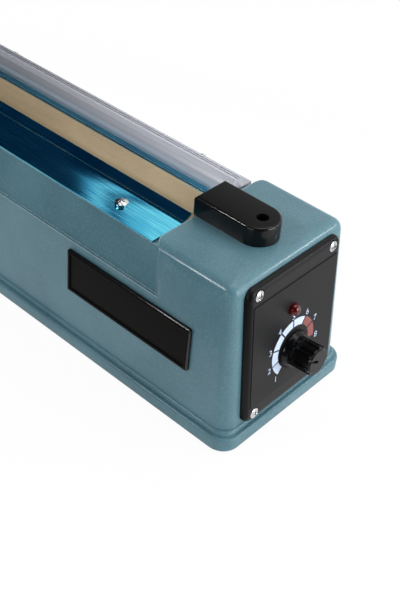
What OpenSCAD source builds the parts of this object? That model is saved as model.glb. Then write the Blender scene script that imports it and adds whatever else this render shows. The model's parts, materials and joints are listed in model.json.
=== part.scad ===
// Hand impulse bag sealer: a cast body with a heated rail and a sprung press arm
// Millimetres. +X points to the control panel, +Z is up, the feet stand on Z = 0.

/* [Casting] */
// Length of the base flange
base_l = 430; // [400:1:520]
// Width of the base flange
base_w = 80; // [76:1:96]
// Corner radius of the base flange
base_r = 8; // [5:0.5:12]
// Height of the base flange
flange_h = 6; // [5:0.5:9]
// Ledge between the flange and the bead above it
flange_ledge = 2; // [1:0.25:3]
// Height of the bead between flange and wall
bead_h = 2.2; // [1.5:0.1:3]
// Step from the bead in to the wall
bead_step = 1; // [0.5:0.1:2]
// Height of the end blocks above the bottom of the flange
block_h = 77.4; // [74:0.2:90]
// Drop from the end blocks down to the saddle that carries the rail
saddle_drop = 4.9; // [4:0.1:6]
// Distance from the side of the flange in to the edge of the saddle
saddle_inset = 10.8; // [9:0.2:12]
// Height of the recessed flank's lower edge above the bottom of the flange
flank_h = 54; // [52:0.5:58]
// Depth of the step at the lower edge of the flank
flank_step = 1.2; // [0.6:0.1:2]
// Length of the end block at the control panel
near_block_l = 50.5; // [48:0.5:58]
// Length of the end block under the hinge
far_block_l = 70; // [68:0.5:80]
// Draft of the long sides in degrees
side_draft = 2.1; // [1:0.1:3]
// Draft of the end faces in degrees
end_draft = 4.4; // [3:0.1:5]
// Radius of the upright corners at the bottom of the wall
corner_r = 7; // [5:0.5:9]
// Radius of the rounded edges around the top
top_r = 5; // [3:0.25:6]
// Radius of the end blocks' upright corners beside the saddle
block_r = 8; // [5:0.5:9]
// Thickness of the casting
wall = 3; // [2.5:0.1:4]

/* [Base] */
// Gap under the flange left by the feet
foot_gap = 2.5; // [2:0.25:5]
// Diameter of a rubber foot
foot_d = 14; // [12:0.5:16]
// Thickness of the bottom plate
plate_t = 1.2; // [1:0.1:2]
// Depth of the bottom plate inside the flange
plate_recess = 1; // [0.5:0.1:2]
// Distance of a foot from the end of the flange
foot_end = 24; // [22:0.5:32]
// Distance of a foot from the side of the flange
foot_side = 17; // [16:0.5:20]
// Diameter of the foot screws
foot_screw_d = 3; // [3:0.5:3.5]

/* [Control panel] */
// Width of the panel
panel_w = 56; // [52:0.5:57]
// Height of the panel along the end face
panel_h = 66; // [62:0.5:67]
// Thickness of the panel
panel_t = 3; // [2.5:0.1:4]
// Corner radius of the panel
panel_r = 4; // [2:0.5:6]
// Gap between the bead and the panel
panel_lift = 0.7; // [0.5:0.1:1.5]
// Thickness of the printed dial overlay
overlay_t = 0.3; // [0.2:0.05:0.5]
// Height of the lower edge of the overlay above the panel's lower edge
overlay_low = 7.8; // [7:0.1:9]
// Height of the overlay
overlay_h = 50.4; // [48:0.2:52]
// Height of the knob axis above the panel's lower edge
knob_v = 24.4; // [23:0.2:28]
// Height of the indicator lamp above the panel's lower edge
lamp_v = 45.6; // [43:0.2:47]
// Distance of the lamp to the right of the knob axis
lamp_side = -2; // [-3:0.2:3]
// Diameter of the indicator lamp
lamp_d = 5.2; // [4:0.1:6]
// Distance of the panel screws from the panel's upper and lower edges
panel_screw_v = 3.6; // [3.4:0.1:4.6]
// Distance between the panel screws across the panel
panel_screw_w = 45; // [44:0.2:46]
// Diameter of the panel screws
panel_screw_d = 2.5; // [2:0.5:2.5]
// Depth by which the panel screws' heads are sunk
panel_screw_sink = 0.9; // [0.6:0.1:1.2]
// Gap round each of these sunk heads
panel_screw_ring = 0.35; // [0.2:0.05:0.5]

/* [Timer knob] */
// Diameter of the knob's skirt
knob_skirt_d = 16.8; // [16:0.2:19]
// Diameter of the knob at its skirt
knob_d = 12.8; // [12.4:0.2:14]
// Length of the knob
knob_l = 12.4; // [11:0.2:15]
// Number of grooves round the knob
knob_grooves = 12; // [8:1:14]
// Depth of the grooves
knob_groove = 0.7; // [0.5:0.1:0.7]
// Direction of the pointer in degrees, anticlockwise from the right
pointer_deg = 150; // [0:1:220]
// Diameter of the potentiometer shaft
shaft_d = 6; // [5:0.5:6]

/* [Heated rail] */
// Height of the rail above the saddle
rail_h = 3.1; // [2.5:0.1:4]
// Width of the rail at its foot
rail_base_w = 22; // [20:0.5:24]
// Width of the flat top of the rail
rail_top_w = 12.6; // [11:0.2:14]
// Height of the upright edge at the rail's foot
rail_foot = 0.4; // [0.2:0.1:0.8]
// Width of the heating ribbon
ribbon_w = 3; // [2:0.2:5]
// Thickness of the heating ribbon
ribbon_t = 0.15; // [0.1:0.01:0.3]
// Thickness of the insulating tape under the ribbon
tape_t = 0.2; // [0.1:0.05:0.3]
// Thickness of the release cloth
cloth_t = 0.25; // [0.1:0.05:0.3]
// Gap between the edge of the cloth and the strip screws
cloth_screw_gap = 1.76; // [1.4:0.02:2]
// Thickness of the clamp strips
strip_t = 0.6; // [0.5:0.1:1]
// Radius of a clamp strip's bend
strip_bend = 5; // [3:0.5:6]
// Length by which a strip passes the edge of the saddle
strip_over = 0.3; // [0.2:0.1:1.5]
// Height of a clamp strip's inner edge above the saddle
strip_rise = 3.25; // [3:0.05:3.5]
// Gap between the strips and each end block
strip_gap = 3.5; // [3:0.5:5]
// Distance of a strip screw from the edge of the saddle
strip_screw_in = 8.2; // [7:0.2:9]
// Distance of the outer strip screws from the end blocks
strip_screw_x = 29.5; // [25:0.5:40]
// Diameter of the strip screws
strip_screw_d = 3; // [2.5:0.5:3.5]

/* [Rear guard] */
// Thickness of the guard's upper part
guard_t = 4.8; // [4.4:0.1:5]
// Width of the slope at the upper edge of the guard's front
guard_slope = 0.9; // [0.6:0.1:1.2]
// Height of the guard above the saddle
guard_h = 8.3; // [7:0.1:9]
// Distance of the upper edge of the guard's front from the edge of the saddle
guard_in = 12; // [11:0.2:13]
// Clearance between the guard's toe and the bend of the strip under it
guard_toe_gap = 0.1; // [0.1:0.1:1]
// Crown of the guard's front
guard_crown = 0.9; // [0.4:0.1:1]
// Drop from the top of the guard to the upper edge of its front
guard_drop = 0.7; // [0.4:0.1:1]
// Number of grooves along the top of the guard
guard_lines = 2; // [1:1:3]
// Depth of each of these grooves, half of its width
guard_groove = 0.3; // [0.2:0.1:0.5]
// Thickness of the guard's foot
guard_foot_t = 2; // [1.5:0.1:2.5]
// Distance of the guard's screws from the edge of the saddle
guard_screw_in = 3.9; // [3.5:0.1:4.2]
// Gap between the guard and each end block
guard_gap = 3; // [2:0.5:5]

/* [Terminal covers] */
// Length of a terminal cover
cover_l = 34.6; // [32:0.2:36]
// Length by which a cover passes the end block's face
cover_over = 1.2; // [0:0.2:2]
// Width of a terminal cover
cover_w = 18; // [17:0.5:20]
// Height of a terminal cover
cover_h = 8.6; // [8:0.1:10]
// Thickness of a terminal cover
cover_wall = 2; // [1.5:0.1:2.2]
// Diameter of the switch hole
switch_hole_d = 5; // [4.8:0.1:6]
// Diameter of a terminal post
post_d = 4; // [3:0.5:4]

/* [Press arm] */
// Angle of the arm above the rail at rest, in degrees
arm_raise = 22; // [18:0.5:30]
// Width of the arm's channel
arm_w = 22; // [20:0.5:24]
// Height of the arm's channel
arm_h = 18; // [17:0.5:22]
// Thickness of the arm's channel
arm_t = 2; // [1.5:0.1:2.5]
// Clearance between the closed arm and the terminal covers
arm_lift = 1; // [0.6:0.1:2]
// Width of the press bar
bar_w = 10; // [8:0.5:12]
// Thickness of the silicone pad
pad_t = 3; // [2:0.25:4]
// Gap left between the pad and the cloth when closed
pad_gap = 0.3; // [0.3:0.05:0.6]
// Diameter of the hinge pin
pin_d = 6; // [5:0.5:7]
// Thickness of the hinge bracket
bracket_t = 2.5; // [2:0.25:3]
// Length of the grip
grip_l = 92; // [85:1:100]
// Width of the grip
grip_w = 30; // [28:0.5:34]
// Height of the grip
grip_h = 25; // [23:0.5:28]
// Length by which the grip passes the end of the flange
grip_over = 7; // [0:0.5:12]
// Diameter of the switch pin
switch_pin_d = 3.6; // [3:0.1:3.8]
// Travel of the switch plunger
plunger_travel = 1.5; // [1:0.1:2]

/* [Return spring] */
// Diameter of the spring wire
wire_d = 1.6; // [1.2:0.1:1.8]
// Number of curls
spring_curls = 5; // [4:1:5]
// Mean diameter of the curls
spring_d = 10; // [9.6:0.2:10.4]
// Rise of the spring in one curl
spring_pitch = 2.4; // [2.3:0.05:2.5]

/* [Hidden] */

$fn = 48;
eps = 0.01;

// Clearances
skin_gap = 0.05;
fit = 0.02;
running_fit = 0.05;
screw_gap = 0.25;
plate_gap = 0.3;
knob_gap = 0.5;
nut_room = 0.5;

// Rounded edges: the steps of the round, and its radius on each piece
edge_angles = [22.5 : 22.5 : 90];
flange_edge = 1.2;
panel_edge = 2.4;
cover_edge = 1.2;

// Pan head in shares of the screw's diameter
head_d_ratio = 1.9;
head_h_ratio = 0.65;

// Levels
flange_z = foot_gap + flange_h;
wall_z = flange_z + bead_h;
block_z = foot_gap + block_h;
saddle_z = block_z - saddle_drop;
saddle_w = base_w - 2*saddle_inset;
flank_z = foot_gap + flank_h;
rail_z = saddle_z + rail_h;
plate_z = foot_gap + plate_recess;
plate_top_z = plate_z + plate_t;
cover_z = block_z + cover_h;

// Plan of the casting
wall_inset = flange_ledge + bead_step;
half_l = base_l/2 - wall_inset;
half_w = base_w/2 - wall_inset;
near_x = base_l/2 - near_block_l;
far_x = far_block_l - base_l/2;
rail_l = near_x - far_x;
mid_x = (near_x + far_x)/2;
foot_x = base_l/2 - foot_end;
foot_y = base_w/2 - foot_side;
boss_d = foot_screw_d + 5;
foot_floor = 0.8;
foot_screw_l = 14;

// Half width and half length of the wall's outside at a height
function side_y(z) = half_w - (z - wall_z)*tan(side_draft);
function end_x(z) = half_l - (z - wall_z)*tan(end_draft);

// Window behind the panel
window_w = panel_screw_w - 8;
window_low = panel_screw_v + 5;
window_h = panel_h - 2*window_low;

// Stack on top of the rail
tape_z = rail_z + skin_gap;
ribbon_z = tape_z + tape_t + skin_gap;
cloth_top_z = ribbon_z + ribbon_t + skin_gap;
tape_w = rail_top_w - 1;

// Slope of the rail's shoulders, and a path that follows saddle and shoulder at a distance
shoulder = atan2(rail_h - rail_foot, (rail_base_w - rail_top_w)/2);
function bend_y(d) = rail_base_w/2 + d*sin(shoulder)
    + (rail_foot + d*cos(shoulder) - d)/tan(shoulder);
function shoulder_y(d, z) = rail_base_w/2 + d*sin(shoulder)
    - (z - saddle_z - rail_foot - d*cos(shoulder))/tan(shoulder);
cloth_d = skin_gap + cloth_t/2;
strip_d = 2*skin_gap + cloth_t + strip_t/2;
strip_outer = saddle_w/2 + strip_over;
strip_screw_y = saddle_w/2 - strip_screw_in;
cloth_edge = strip_screw_y - strip_screw_d/2 - cloth_screw_gap;
guard_y = saddle_w/2 - guard_in;
guard_toe = bend_y(strip_d) + strip_bend*tan(shoulder/2) + guard_toe_gap;
guard_screw_y = saddle_w/2 - guard_screw_in;
strip_top_z = saddle_z + strip_d + strip_t/2;

// Terminals
terminal_l = 14;
terminal_w = 12;
post_x = 7;
switch_inset = 24.4;
switch_x = base_l/2 - switch_inset;
cover_round_x = cover_l - cover_over - cover_w/2;

// Switch
switch_size = [6.4, 20, 10.5];
switch_drop = 2;
switch_top_z = block_z - wall - switch_drop;
plunger_d = 3;
plunger_in = 6;
plunger_z = cover_z - 5.5;
switch_rib_t = 3;
switch_screw_d = 2.5;
switch_screw_y = 7;

// Hinge
hinge_x = far_x - 46;
hinge_z = cover_z + arm_lift + 7;
arm_low_z = cover_z + arm_lift;
arm_tail = 9;
grip_back = base_l/2 + grip_over - grip_l;
bar_gap = 4;
bar_screw_in = 40;
arm_front = near_x - bar_gap + 1;
grip_sink = 3;
washer_t = 1.2;
cheek_y = arm_w/2 + washer_t + 2*skin_gap;
bracket_l = 22;
bracket_screw_x = 7;
bracket_screw_y = 7;
clip_t = 0.8;
pin_half = cheek_y + bracket_t + skin_gap + clip_t + 1;
pad_low_z = cloth_top_z + cloth_t + pad_gap;
bar_low_z = pad_low_z + pad_t;
switch_pin_low = plunger_z - plunger_travel + pad_gap;
pin_bore = 10;

// Knob stations along the panel's normal
overlay_w = panel_w - 2*panel_edge - 0.2;
overlay_face = panel_t + overlay_t;
knob_base = overlay_face + knob_gap;
knob_skirt_h = 2.5;
nut_h = 1.6;
nut_d = 10;
bush_d = 7;
bush_l = overlay_face + nut_h + 0.3;
pot_d = 16;
pot_l = 8;
knob_shoulder_d = knob_d + 1.9;
knob_cap_h = 0.5;
knob_cap_d = knob_d - 2*knob_groove - 0.2;
knob_tip_d = knob_cap_d - 0.6;
knob_slot_w = 1.2;
knob_slot_depth = 0.8;
board_t = 1.6;
board_w = window_w - 4;
board_h = window_h - 4;
standoff_d = 5;
standoff_inset = 4;
lamp_back = 2;
lamp_rise = 0.8;

// Reach of the knob's tip, which sets the middle of the whole length
tip_x = half_l + (knob_base + knob_l)*cos(end_draft)
    - (panel_lift + knob_v - knob_tip_d/2)*sin(end_draft);
origin_x = (tip_x - base_l/2)/2;

// Transformer
core_size = [58, 40, 48];
core_limb = 12;
core_slot = [core_limb, core_size[2] - 2*core_limb];
core_back = 40;
core_x = mid_x - core_back;
coil_over = 9;
tab_l = 12;
tab_t = 2;
tab_screw_d = 4;

// Gland
gland_v = 20;
gland_d = 12;
gland_bore = 7.5;
gland_head_d = 17;
gland_head_h = 4;
gland_nut_h = 3;

// Shared shapes

module rounded_rect(l, w, r) {
    square([l - 2*r, w], center = true);
    square([l, w - 2*r], center = true);
    for (sx = [-1, 1], sy = [-1, 1])
        translate([sx*(l/2 - r), sy*(w/2 - r)])
            circle(r);
}

// Slab whose upper edge is rounded
module soft_slab(l, w, r, t, edge) {
    hull() {
        linear_extrude(t - edge)
            rounded_rect(l, w, r);
        for (a = edge_angles)
            let (inset = edge*(1 - cos(a)))
                translate([0, 0, t - edge*(1 - sin(a)) - eps])
                    linear_extrude(eps)
                        rounded_rect(l - 2*inset, w - 2*inset, r - inset);
    }
}

// Cross-section in Y and Z pushed along X
module along_x(x0, x1) {
    translate([x0, 0, 0])
        rotate([90, 0, 90])
            linear_extrude(x1 - x0)
                children();
}

// Flat strip of even thickness that follows points
module ribbon_path(points, t) {
    for (i = [0 : len(points) - 2])
        let (d = points[i + 1] - points[i])
            translate(points[i])
                rotate(atan2(d[1], d[0]))
                    translate([0, -t/2])
                        square([norm(d), t]);
    for (i = [1 : len(points) - 2])
        translate(points[i])
            circle(t/2);
}

// Pan-head screw with a cross slot; the seat of the head is at Z = 0 and the shank points down
module pan_screw(d, l) {
    head_d = d*head_d_ratio;
    head_h = d*head_h_ratio;
    slot_w = d*0.22;
    difference() {
        union() {
            cylinder(h = head_h*0.5, d = head_d);
            translate([0, 0, head_h*0.5 - eps])
                intersection() {
                    cylinder(h = head_h*0.5 + eps, d = head_d);
                    translate([0, 0, -head_d*0.9 + head_h*0.5])
                        sphere(head_d*0.9);
                }
            translate([0, 0, -l])
                cylinder(h = l + eps, d = d);
        }
        for (a = [0, 90])
            rotate(a)
                translate([-head_d*0.3, -slot_w/2, head_h*0.45])
                    cube([head_d*0.6, slot_w, head_h]);
    }
}

// Puts the origin under the middle of the whole length
module placed() {
    translate([-origin_x, 0, 0])
        children();
}

// Frame of the panel: X across, Y up the end face from the bead, Z outward
module on_end_face() {
    translate([half_l, 0, wall_z])
        rotate([0, -end_draft, 0])
            rotate([90, 0, 90])
                translate([0, panel_lift, 0])
                    children();
}

// The same frame on the end face under the hinge
module on_far_face() {
    mirror([1, 0, 0])
        on_end_face()
            children();
}

// Frame of the front wall: X along the body, Y up the wall from the bead, Z outward
module on_front_face() {
    translate([0, -half_w, wall_z])
        rotate([-side_draft, 0, 0])
            rotate([90, 0, 0])
                children();
}

// Swings the closed arm up to its rest position
module on_arm() {
    translate([hinge_x, 0, hinge_z])
        rotate([0, -arm_raise, 0])
            translate([-hinge_x, 0, -hinge_z])
                children();
}

module each_foot() {
    for (sx = [-1, 1], sy = [-1, 1])
        translate([sx*foot_x, sy*foot_y, 0])
            children();
}

module each_panel_screw() {
    for (sx = [-1, 1], v = [panel_screw_v, panel_h - panel_screw_v])
        translate([sx*panel_screw_w/2, v, 0])
            children();
}

module each_standoff() {
    for (sx = [-1, 1], sv = [0, 1])
        translate([sx*(board_w/2 - standoff_inset),
            window_low + 2 + standoff_inset + sv*(board_h - 2*standoff_inset), 0])
            children();
}

module each_strip_screw() {
    for (x = [far_x + strip_screw_x, mid_x, near_x - strip_screw_x])
        translate([x, 0, 0])
            children();
}

module each_bracket_screw() {
    for (sx = [-1, 1], sy = [-1, 1])
        translate([hinge_x + sx*bracket_screw_x, sy*bracket_screw_y, block_z + bracket_t])
            children();
}

module each_tab_screw() {
    for (sx = [-1, 1])
        translate([core_x + sx*(core_size[0]/2 + tab_l/2), 0, plate_top_z + tab_t])
            children();
}

module each_bar_screw() {
    for (x = [far_x + bar_screw_in, mid_x, grip_back - 8])
        translate([x, 0, arm_low_z + arm_h])
            children();
}

module each_grip_screw() {
    for (x = [arm_front - 22, arm_front - 8])
        translate([x, 0, arm_low_z + grip_h])
            children();
}

// The two terminals, each drawn as the one at the control panel end
module each_terminal() {
    translate([near_x, 0, 0])
        children();
    translate([far_x, 0, 0])
        mirror([1, 0, 0])
            children();
}

// Casting

module drafted_shell() {
    ball_z = block_z - top_r;
    hull() {
        translate([0, 0, flange_z])
            linear_extrude(bead_h)
                rounded_rect(2*half_l, 2*half_w, corner_r);
        for (sx = [-1, 1], sy = [-1, 1])
            translate([sx*(end_x(ball_z) - top_r/cos(end_draft)),
                sy*(side_y(ball_z) - top_r/cos(side_draft)), ball_z])
                sphere(top_r, $fn = 32);
    }
}

module saddle_profile() {
    low = side_y(flank_z) - flank_step;
    high = saddle_w/2;
    polygon([[-low, flank_z - 1], [low, flank_z - 1], [low, flank_z], [high, saddle_z],
        [-high, saddle_z], [-low, flank_z]]);
}

// What lies beside and above the saddle
module saddle_surround() {
    difference() {
        translate([-base_w/2, flank_z])
            square([base_w, block_z]);
        saddle_profile();
    }
}

// Face of an end block with its two upright corners rounded, drawn with the face at X = 0
module block_face() {
    low_z = flank_z - 1;
    high_z = block_z + 1;
    low_y = side_y(low_z) - block_r/cos(side_draft);
    high_y = side_y(high_z) - block_r/cos(side_draft);
    along_x(0, 2*block_r)
        polygon([[-low_y, low_z], [low_y, low_z], [high_y, high_z], [-high_y, high_z]]);
    for (sy = [-1, 1])
        translate([block_r, sy*low_y, low_z])
            rotate([sy*side_draft, 0, 0])
                translate([0, 0, -1])
                    cylinder(h = high_z - low_z + 2, r = block_r);
}

module saddle_cut() {
    along_x(far_x - eps, near_x + eps)
        saddle_surround();
    each_terminal()
        difference() {
            along_x(0, block_r)
                saddle_surround();
            block_face();
        }
}

module casting_outside() {
    translate([0, 0, foot_gap])
        soft_slab(base_l, base_w, base_r, flange_h, flange_edge);
    translate([0, 0, flange_z - eps])
        soft_slab(base_l - 2*flange_ledge, base_w - 2*flange_ledge, base_r - flange_ledge, bead_h + eps,
            flange_edge);
    difference() {
        drafted_shell();
        saddle_cut();
    }
}

module casting_cavity() {
    floor_z = foot_gap - 1;
    roof_z = block_z - wall;
    saddle_roof_z = saddle_z - wall;
    end_low = end_x(floor_z) - wall;
    end_high = end_x(roof_z) - wall;
    side_low = side_y(flange_z) - wall;
    side_flank = side_y(flank_z) - flank_step - wall;
    side_high = saddle_w/2 - wall;
    block_y = side_y(block_z) - wall - 1;
    intersection() {
        translate([0, base_w, 0])
            rotate([90, 0, 0])
                linear_extrude(2*base_w)
                    polygon([[-end_low, floor_z], [end_low, floor_z], [end_high, roof_z],
                        [-end_high, roof_z]]);
        union() {
            along_x(-base_l, base_l)
                polygon([[-side_low, floor_z], [side_low, floor_z], [side_low, flange_z],
                    [side_flank, flank_z], [side_high, saddle_roof_z], [-side_high, saddle_roof_z],
                    [-side_flank, flank_z], [-side_low, flange_z]]);
            along_x(near_x + wall, base_l)
                translate([-block_y, flank_z])
                    square([2*block_y, roof_z - flank_z]);
            along_x(-base_l, far_x - wall)
                translate([-block_y, flank_z])
                    square([2*block_y, roof_z - flank_z]);
        }
    }
}

module switch_rib() {
    translate([switch_x - switch_size[0]/2 - skin_gap - switch_rib_t, -switch_size[1]/2, 0])
        translate([0, 0, switch_top_z - switch_size[2]])
            cube([switch_rib_t, switch_size[1], switch_size[2] + switch_drop + eps]);
}

module switch_screw_axes(r, l) {
    for (sy = [-1, 1])
        translate([switch_x + switch_size[0]/2, sy*switch_screw_y, switch_top_z - switch_size[2]/2])
            rotate([0, -90, 0])
                cylinder(h = l, r = r);
}

module casting_holes() {
    each_foot()
        translate([0, 0, foot_gap])
            cylinder(h = foot_screw_l + 3, d = foot_screw_d + 2*fit);
    on_end_face() {
        translate([-window_w/2, window_low, -3*wall])
            cube([window_w, window_h, 4*wall]);
        each_panel_screw()
            translate([0, 0, -3*wall])
                cylinder(h = 4*wall, d = panel_screw_d + 2*fit);
    }
    on_far_face()
        translate([0, gland_v, -3*wall])
            cylinder(h = 4*wall, d = gland_d + 2*fit);
    each_terminal()
        translate([-eps, -terminal_w/2, saddle_z])
            cube([terminal_l, terminal_w, saddle_drop + 1]);
    each_terminal()
        translate([post_x, 0, saddle_z - 2*wall])
            cylinder(h = 3*wall, d = post_d + 2*screw_gap);
    translate([switch_x, 0, block_z - 2*wall])
        cylinder(h = 3*wall, d = plunger_d + 4*screw_gap);
    switch_screw_axes(switch_screw_d/2 + fit, switch_size[0] + 2*switch_rib_t);
    each_bracket_screw()
        translate([0, 0, -12])
            cylinder(h = 12, d = strip_screw_d + 2*fit);
    for (y = [-strip_screw_y, 0, guard_screw_y])
        each_strip_screw()
            translate([0, y, saddle_z - 2*wall])
                cylinder(h = 3*wall, d = strip_screw_d + 2*fit);
}

module body_casting() {
    color("#5f8592")
        difference() {
            union() {
                difference() {
                    casting_outside();
                    casting_cavity();
                }
                each_foot()
                    translate([0, 0, plate_top_z])
                        cylinder(h = block_z - wall - plate_top_z + eps, d = boss_d);
                switch_rib();
            }
            casting_holes();
        }
}

// Base

module base_plate() {
    plate_x = end_x(flange_z) - wall - plate_gap;
    plate_y = side_y(flange_z) - wall - plate_gap;
    color("#8d9496")
        difference() {
            translate([0, 0, plate_z])
                linear_extrude(plate_t)
                    square([2*plate_x, 2*plate_y], center = true);
            each_foot()
                cylinder(h = 20, d = foot_screw_d + 2*screw_gap);
            each_tab_screw()
                translate([0, 0, -10])
                    cylinder(h = 20, d = tab_screw_d + 2*fit);
        }
}

module rubber_feet() {
    foot_h = plate_z - skin_gap;
    head_room = foot_screw_d*head_d_ratio + 2*screw_gap;
    color("#1b1b1c")
        each_foot()
            difference() {
                cylinder(h = foot_h, d = foot_d);
                translate([0, 0, -1])
                    cylinder(h = foot_h + 2, d = foot_screw_d + 2*screw_gap);
                translate([0, 0, -1])
                    cylinder(h = foot_h - foot_floor + 1, d = head_room);
            }
}

module foot_screws() {
    color("silver")
        each_foot()
            translate([0, 0, plate_z - 2*skin_gap - foot_floor])
                mirror([0, 0, 1])
                    pan_screw(foot_screw_d, foot_screw_l);
}

// Control panel

module control_panel() {
    color("#2a2a2c")
        on_end_face()
            difference() {
                translate([0, panel_h/2, skin_gap])
                    soft_slab(panel_w, panel_h, panel_r, panel_t - skin_gap, panel_edge);
                each_panel_screw() {
                    translate([0, 0, -1])
                        cylinder(h = panel_t + 2, d = panel_screw_d + 2*screw_gap);
                    translate([0, 0, panel_t - panel_screw_sink])
                        cylinder(h = panel_t, d = panel_screw_d*head_d_ratio + 2*panel_screw_ring);
                }
                translate([0, knob_v, -1])
                    cylinder(h = panel_t + 2, d = bush_d + 2*fit);
                translate([lamp_side, lamp_v, -1])
                    cylinder(h = panel_t + 2, d = lamp_d + 2*fit);
            }
}

module dial_overlay() {
    color("#39393b")
        on_end_face()
            difference() {
                translate([-overlay_w/2, overlay_low, panel_t])
                    cube([overlay_w, overlay_h, overlay_t]);
                translate([0, knob_v, 0])
                    cylinder(h = 2*panel_t, d = bush_d + 2*fit);
                translate([lamp_side, lamp_v, 0])
                    cylinder(h = 2*panel_t, d = lamp_d + 2*fit);
            }
}

module panel_screws() {
    color("silver")
        on_end_face()
            each_panel_screw()
                translate([0, 0, panel_t - panel_screw_sink + skin_gap])
                    pan_screw(panel_screw_d, panel_t + 2*wall);
}

module indicator_lens() {
    color("#8c1712")
        on_end_face()
            translate([lamp_side, lamp_v, 0]) {
                translate([0, 0, -lamp_back])
                    cylinder(h = lamp_back + overlay_face + lamp_rise, d = lamp_d);
                translate([0, 0, overlay_face + lamp_rise])
                    sphere(lamp_d/2);
            }
}

module indicator_leads() {
    color("silver")
        on_end_face()
            for (sx = [-1, 1])
                translate([lamp_side + sx*lamp_d/4, lamp_v, -pot_l - board_t - 1])
                    cylinder(h = pot_l + board_t - 1 - skin_gap, d = 0.8);
}

module pot_case() {
    color("#b9bcbd")
        on_end_face()
            translate([0, knob_v, 0])
                difference() {
                    union() {
                        translate([0, 0, -pot_l])
                            cylinder(h = pot_l - skin_gap, d = pot_d);
                        translate([0, 0, -1])
                            cylinder(h = bush_l + 1, d = bush_d);
                    }
                    translate([0, 0, -pot_l + 1])
                        cylinder(h = pot_l + bush_l, d = shaft_d + 2*running_fit);
                }
}

module pot_nut() {
    color("silver")
        on_end_face()
            translate([0, knob_v, overlay_face + skin_gap])
                difference() {
                    cylinder(h = nut_h, d = nut_d, $fn = 6);
                    translate([0, 0, -1])
                        cylinder(h = nut_h + 2, d = bush_d + 2*fit);
                }
}

module pot_shaft() {
    color("#c9c9c4")
        on_end_face()
            translate([0, knob_v, -pot_l + 1.3])
                cylinder(h = pot_l - 1.3 + knob_base + knob_l - 3, d = shaft_d);
}

module knob_section() {
    groove_d = PI*knob_d/knob_grooves*0.75;
    difference() {
        circle(knob_d/2);
        for (i = [1 : knob_grooves - 1])
            rotate(i*360/knob_grooves)
                translate([(knob_d + groove_d)/2 - knob_groove, 0])
                    circle(groove_d/2);
    }
}

module timer_knob() {
    color("#141415")
        on_end_face()
            translate([0, knob_v, knob_base])
                rotate(pointer_deg)
                    difference() {
                        union() {
                            rotate_extrude()
                                polygon([[0, 0], [knob_skirt_d/2, 0], [knob_skirt_d/2, 0.4],
                                    [knob_shoulder_d/2, knob_skirt_h], [0, knob_skirt_h]]);
                            translate([0, 0, knob_skirt_h - eps])
                                linear_extrude(knob_l - knob_skirt_h - knob_cap_h + eps)
                                    knob_section();
                            translate([0, 0, knob_l - knob_cap_h - eps])
                                cylinder(h = knob_cap_h + eps, d1 = knob_cap_d, d2 = knob_tip_d);
                        }
                        translate([0, -knob_slot_w/2, knob_l - knob_slot_depth])
                            cube([knob_d, knob_slot_w, 2*knob_slot_depth]);
                        translate([0, 0, -1])
                            cylinder(h = nut_h + nut_room + 1, d = nut_d + 1);
                        translate([0, 0, -1])
                            cylinder(h = knob_l - 2 + eps, d = shaft_d + 2*fit);
                    }
}

module timer_board() {
    color("#2f6b3c")
        on_end_face()
            difference() {
                translate([-board_w/2, window_low + 2, -pot_l - board_t - skin_gap])
                    cube([board_w, board_h, board_t]);
                for (sx = [-1, 1])
                    translate([lamp_side + sx*lamp_d/4, lamp_v, -pot_l - 3*board_t])
                        cylinder(h = 4*board_t, d = 0.8 + 2*fit);
                each_standoff()
                    translate([0, 0, -pot_l - 3*board_t])
                        cylinder(h = 4*board_t, d = panel_screw_d);
            }
}

module board_components() {
    back = -pot_l - board_t - 2*skin_gap;
    color("#3a5c8c")
        on_end_face() {
            translate([-board_w/2 + 3, window_low + 12, back - 15])
                cube([12, 18, 15]);
            for (v = [16, 26])
                translate([board_w/2 - 10, window_low + v, back - 12])
                    cylinder(h = 12, d = 8);
        }
}

module board_standoffs() {
    color("#d8d3c2")
        on_end_face()
            each_standoff() {
                translate([0, 0, -pot_l])
                    cylinder(h = pot_l - skin_gap, d = standoff_d);
                translate([0, 0, -pot_l - board_t - 1])
                    cylinder(h = board_t + 1 + eps, d = panel_screw_d - 2*fit);
            }
}

// Switch

module microswitch() {
    color("#26221f")
        difference() {
            translate([switch_x - switch_size[0]/2, -switch_size[1]/2, switch_top_z - switch_size[2]])
                cube(switch_size);
            translate([switch_x, 0, switch_top_z - plunger_in])
                cylinder(h = 2*plunger_in, d = plunger_d + 2*running_fit);
            switch_screw_axes(switch_screw_d/2 + fit, switch_size[0] + 1);
        }
}

module switch_screws() {
    color("silver")
        for (sy = [-1, 1])
            translate([switch_x + switch_size[0]/2 + skin_gap, sy*switch_screw_y,
                switch_top_z - switch_size[2]/2])
                rotate([0, 90, 0])
                    pan_screw(switch_screw_d, switch_size[0] + switch_rib_t);
}

module switch_plunger() {
    base_z = switch_top_z - plunger_in + plunger_travel + pad_gap;
    color("#b23a2a")
        translate([switch_x, 0, base_z])
            cylinder(h = plunger_z - base_z, d = plunger_d);
}

// Transformer

module transformer_core() {
    color("#6d6a66")
        difference() {
            union() {
                translate([core_x - core_size[0]/2, -core_size[1]/2, plate_top_z + skin_gap])
                    cube(core_size);
                translate([core_x - core_size[0]/2 - tab_l, -core_size[1]/2, plate_top_z + skin_gap])
                    cube([core_size[0] + 2*tab_l, core_size[1], tab_t - skin_gap]);
            }
            each_tab_screw()
                translate([0, 0, -2*tab_t])
                    cylinder(h = 4*tab_t, d = tab_screw_d + 2*screw_gap);
            for (sx = [-1, 1])
                translate([core_x + sx*core_size[0]/4 - core_slot[0]/2, -core_size[1], plate_top_z + core_limb])
                    cube([core_slot[0], 2*core_size[1], core_slot[1]]);
        }
}

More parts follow.
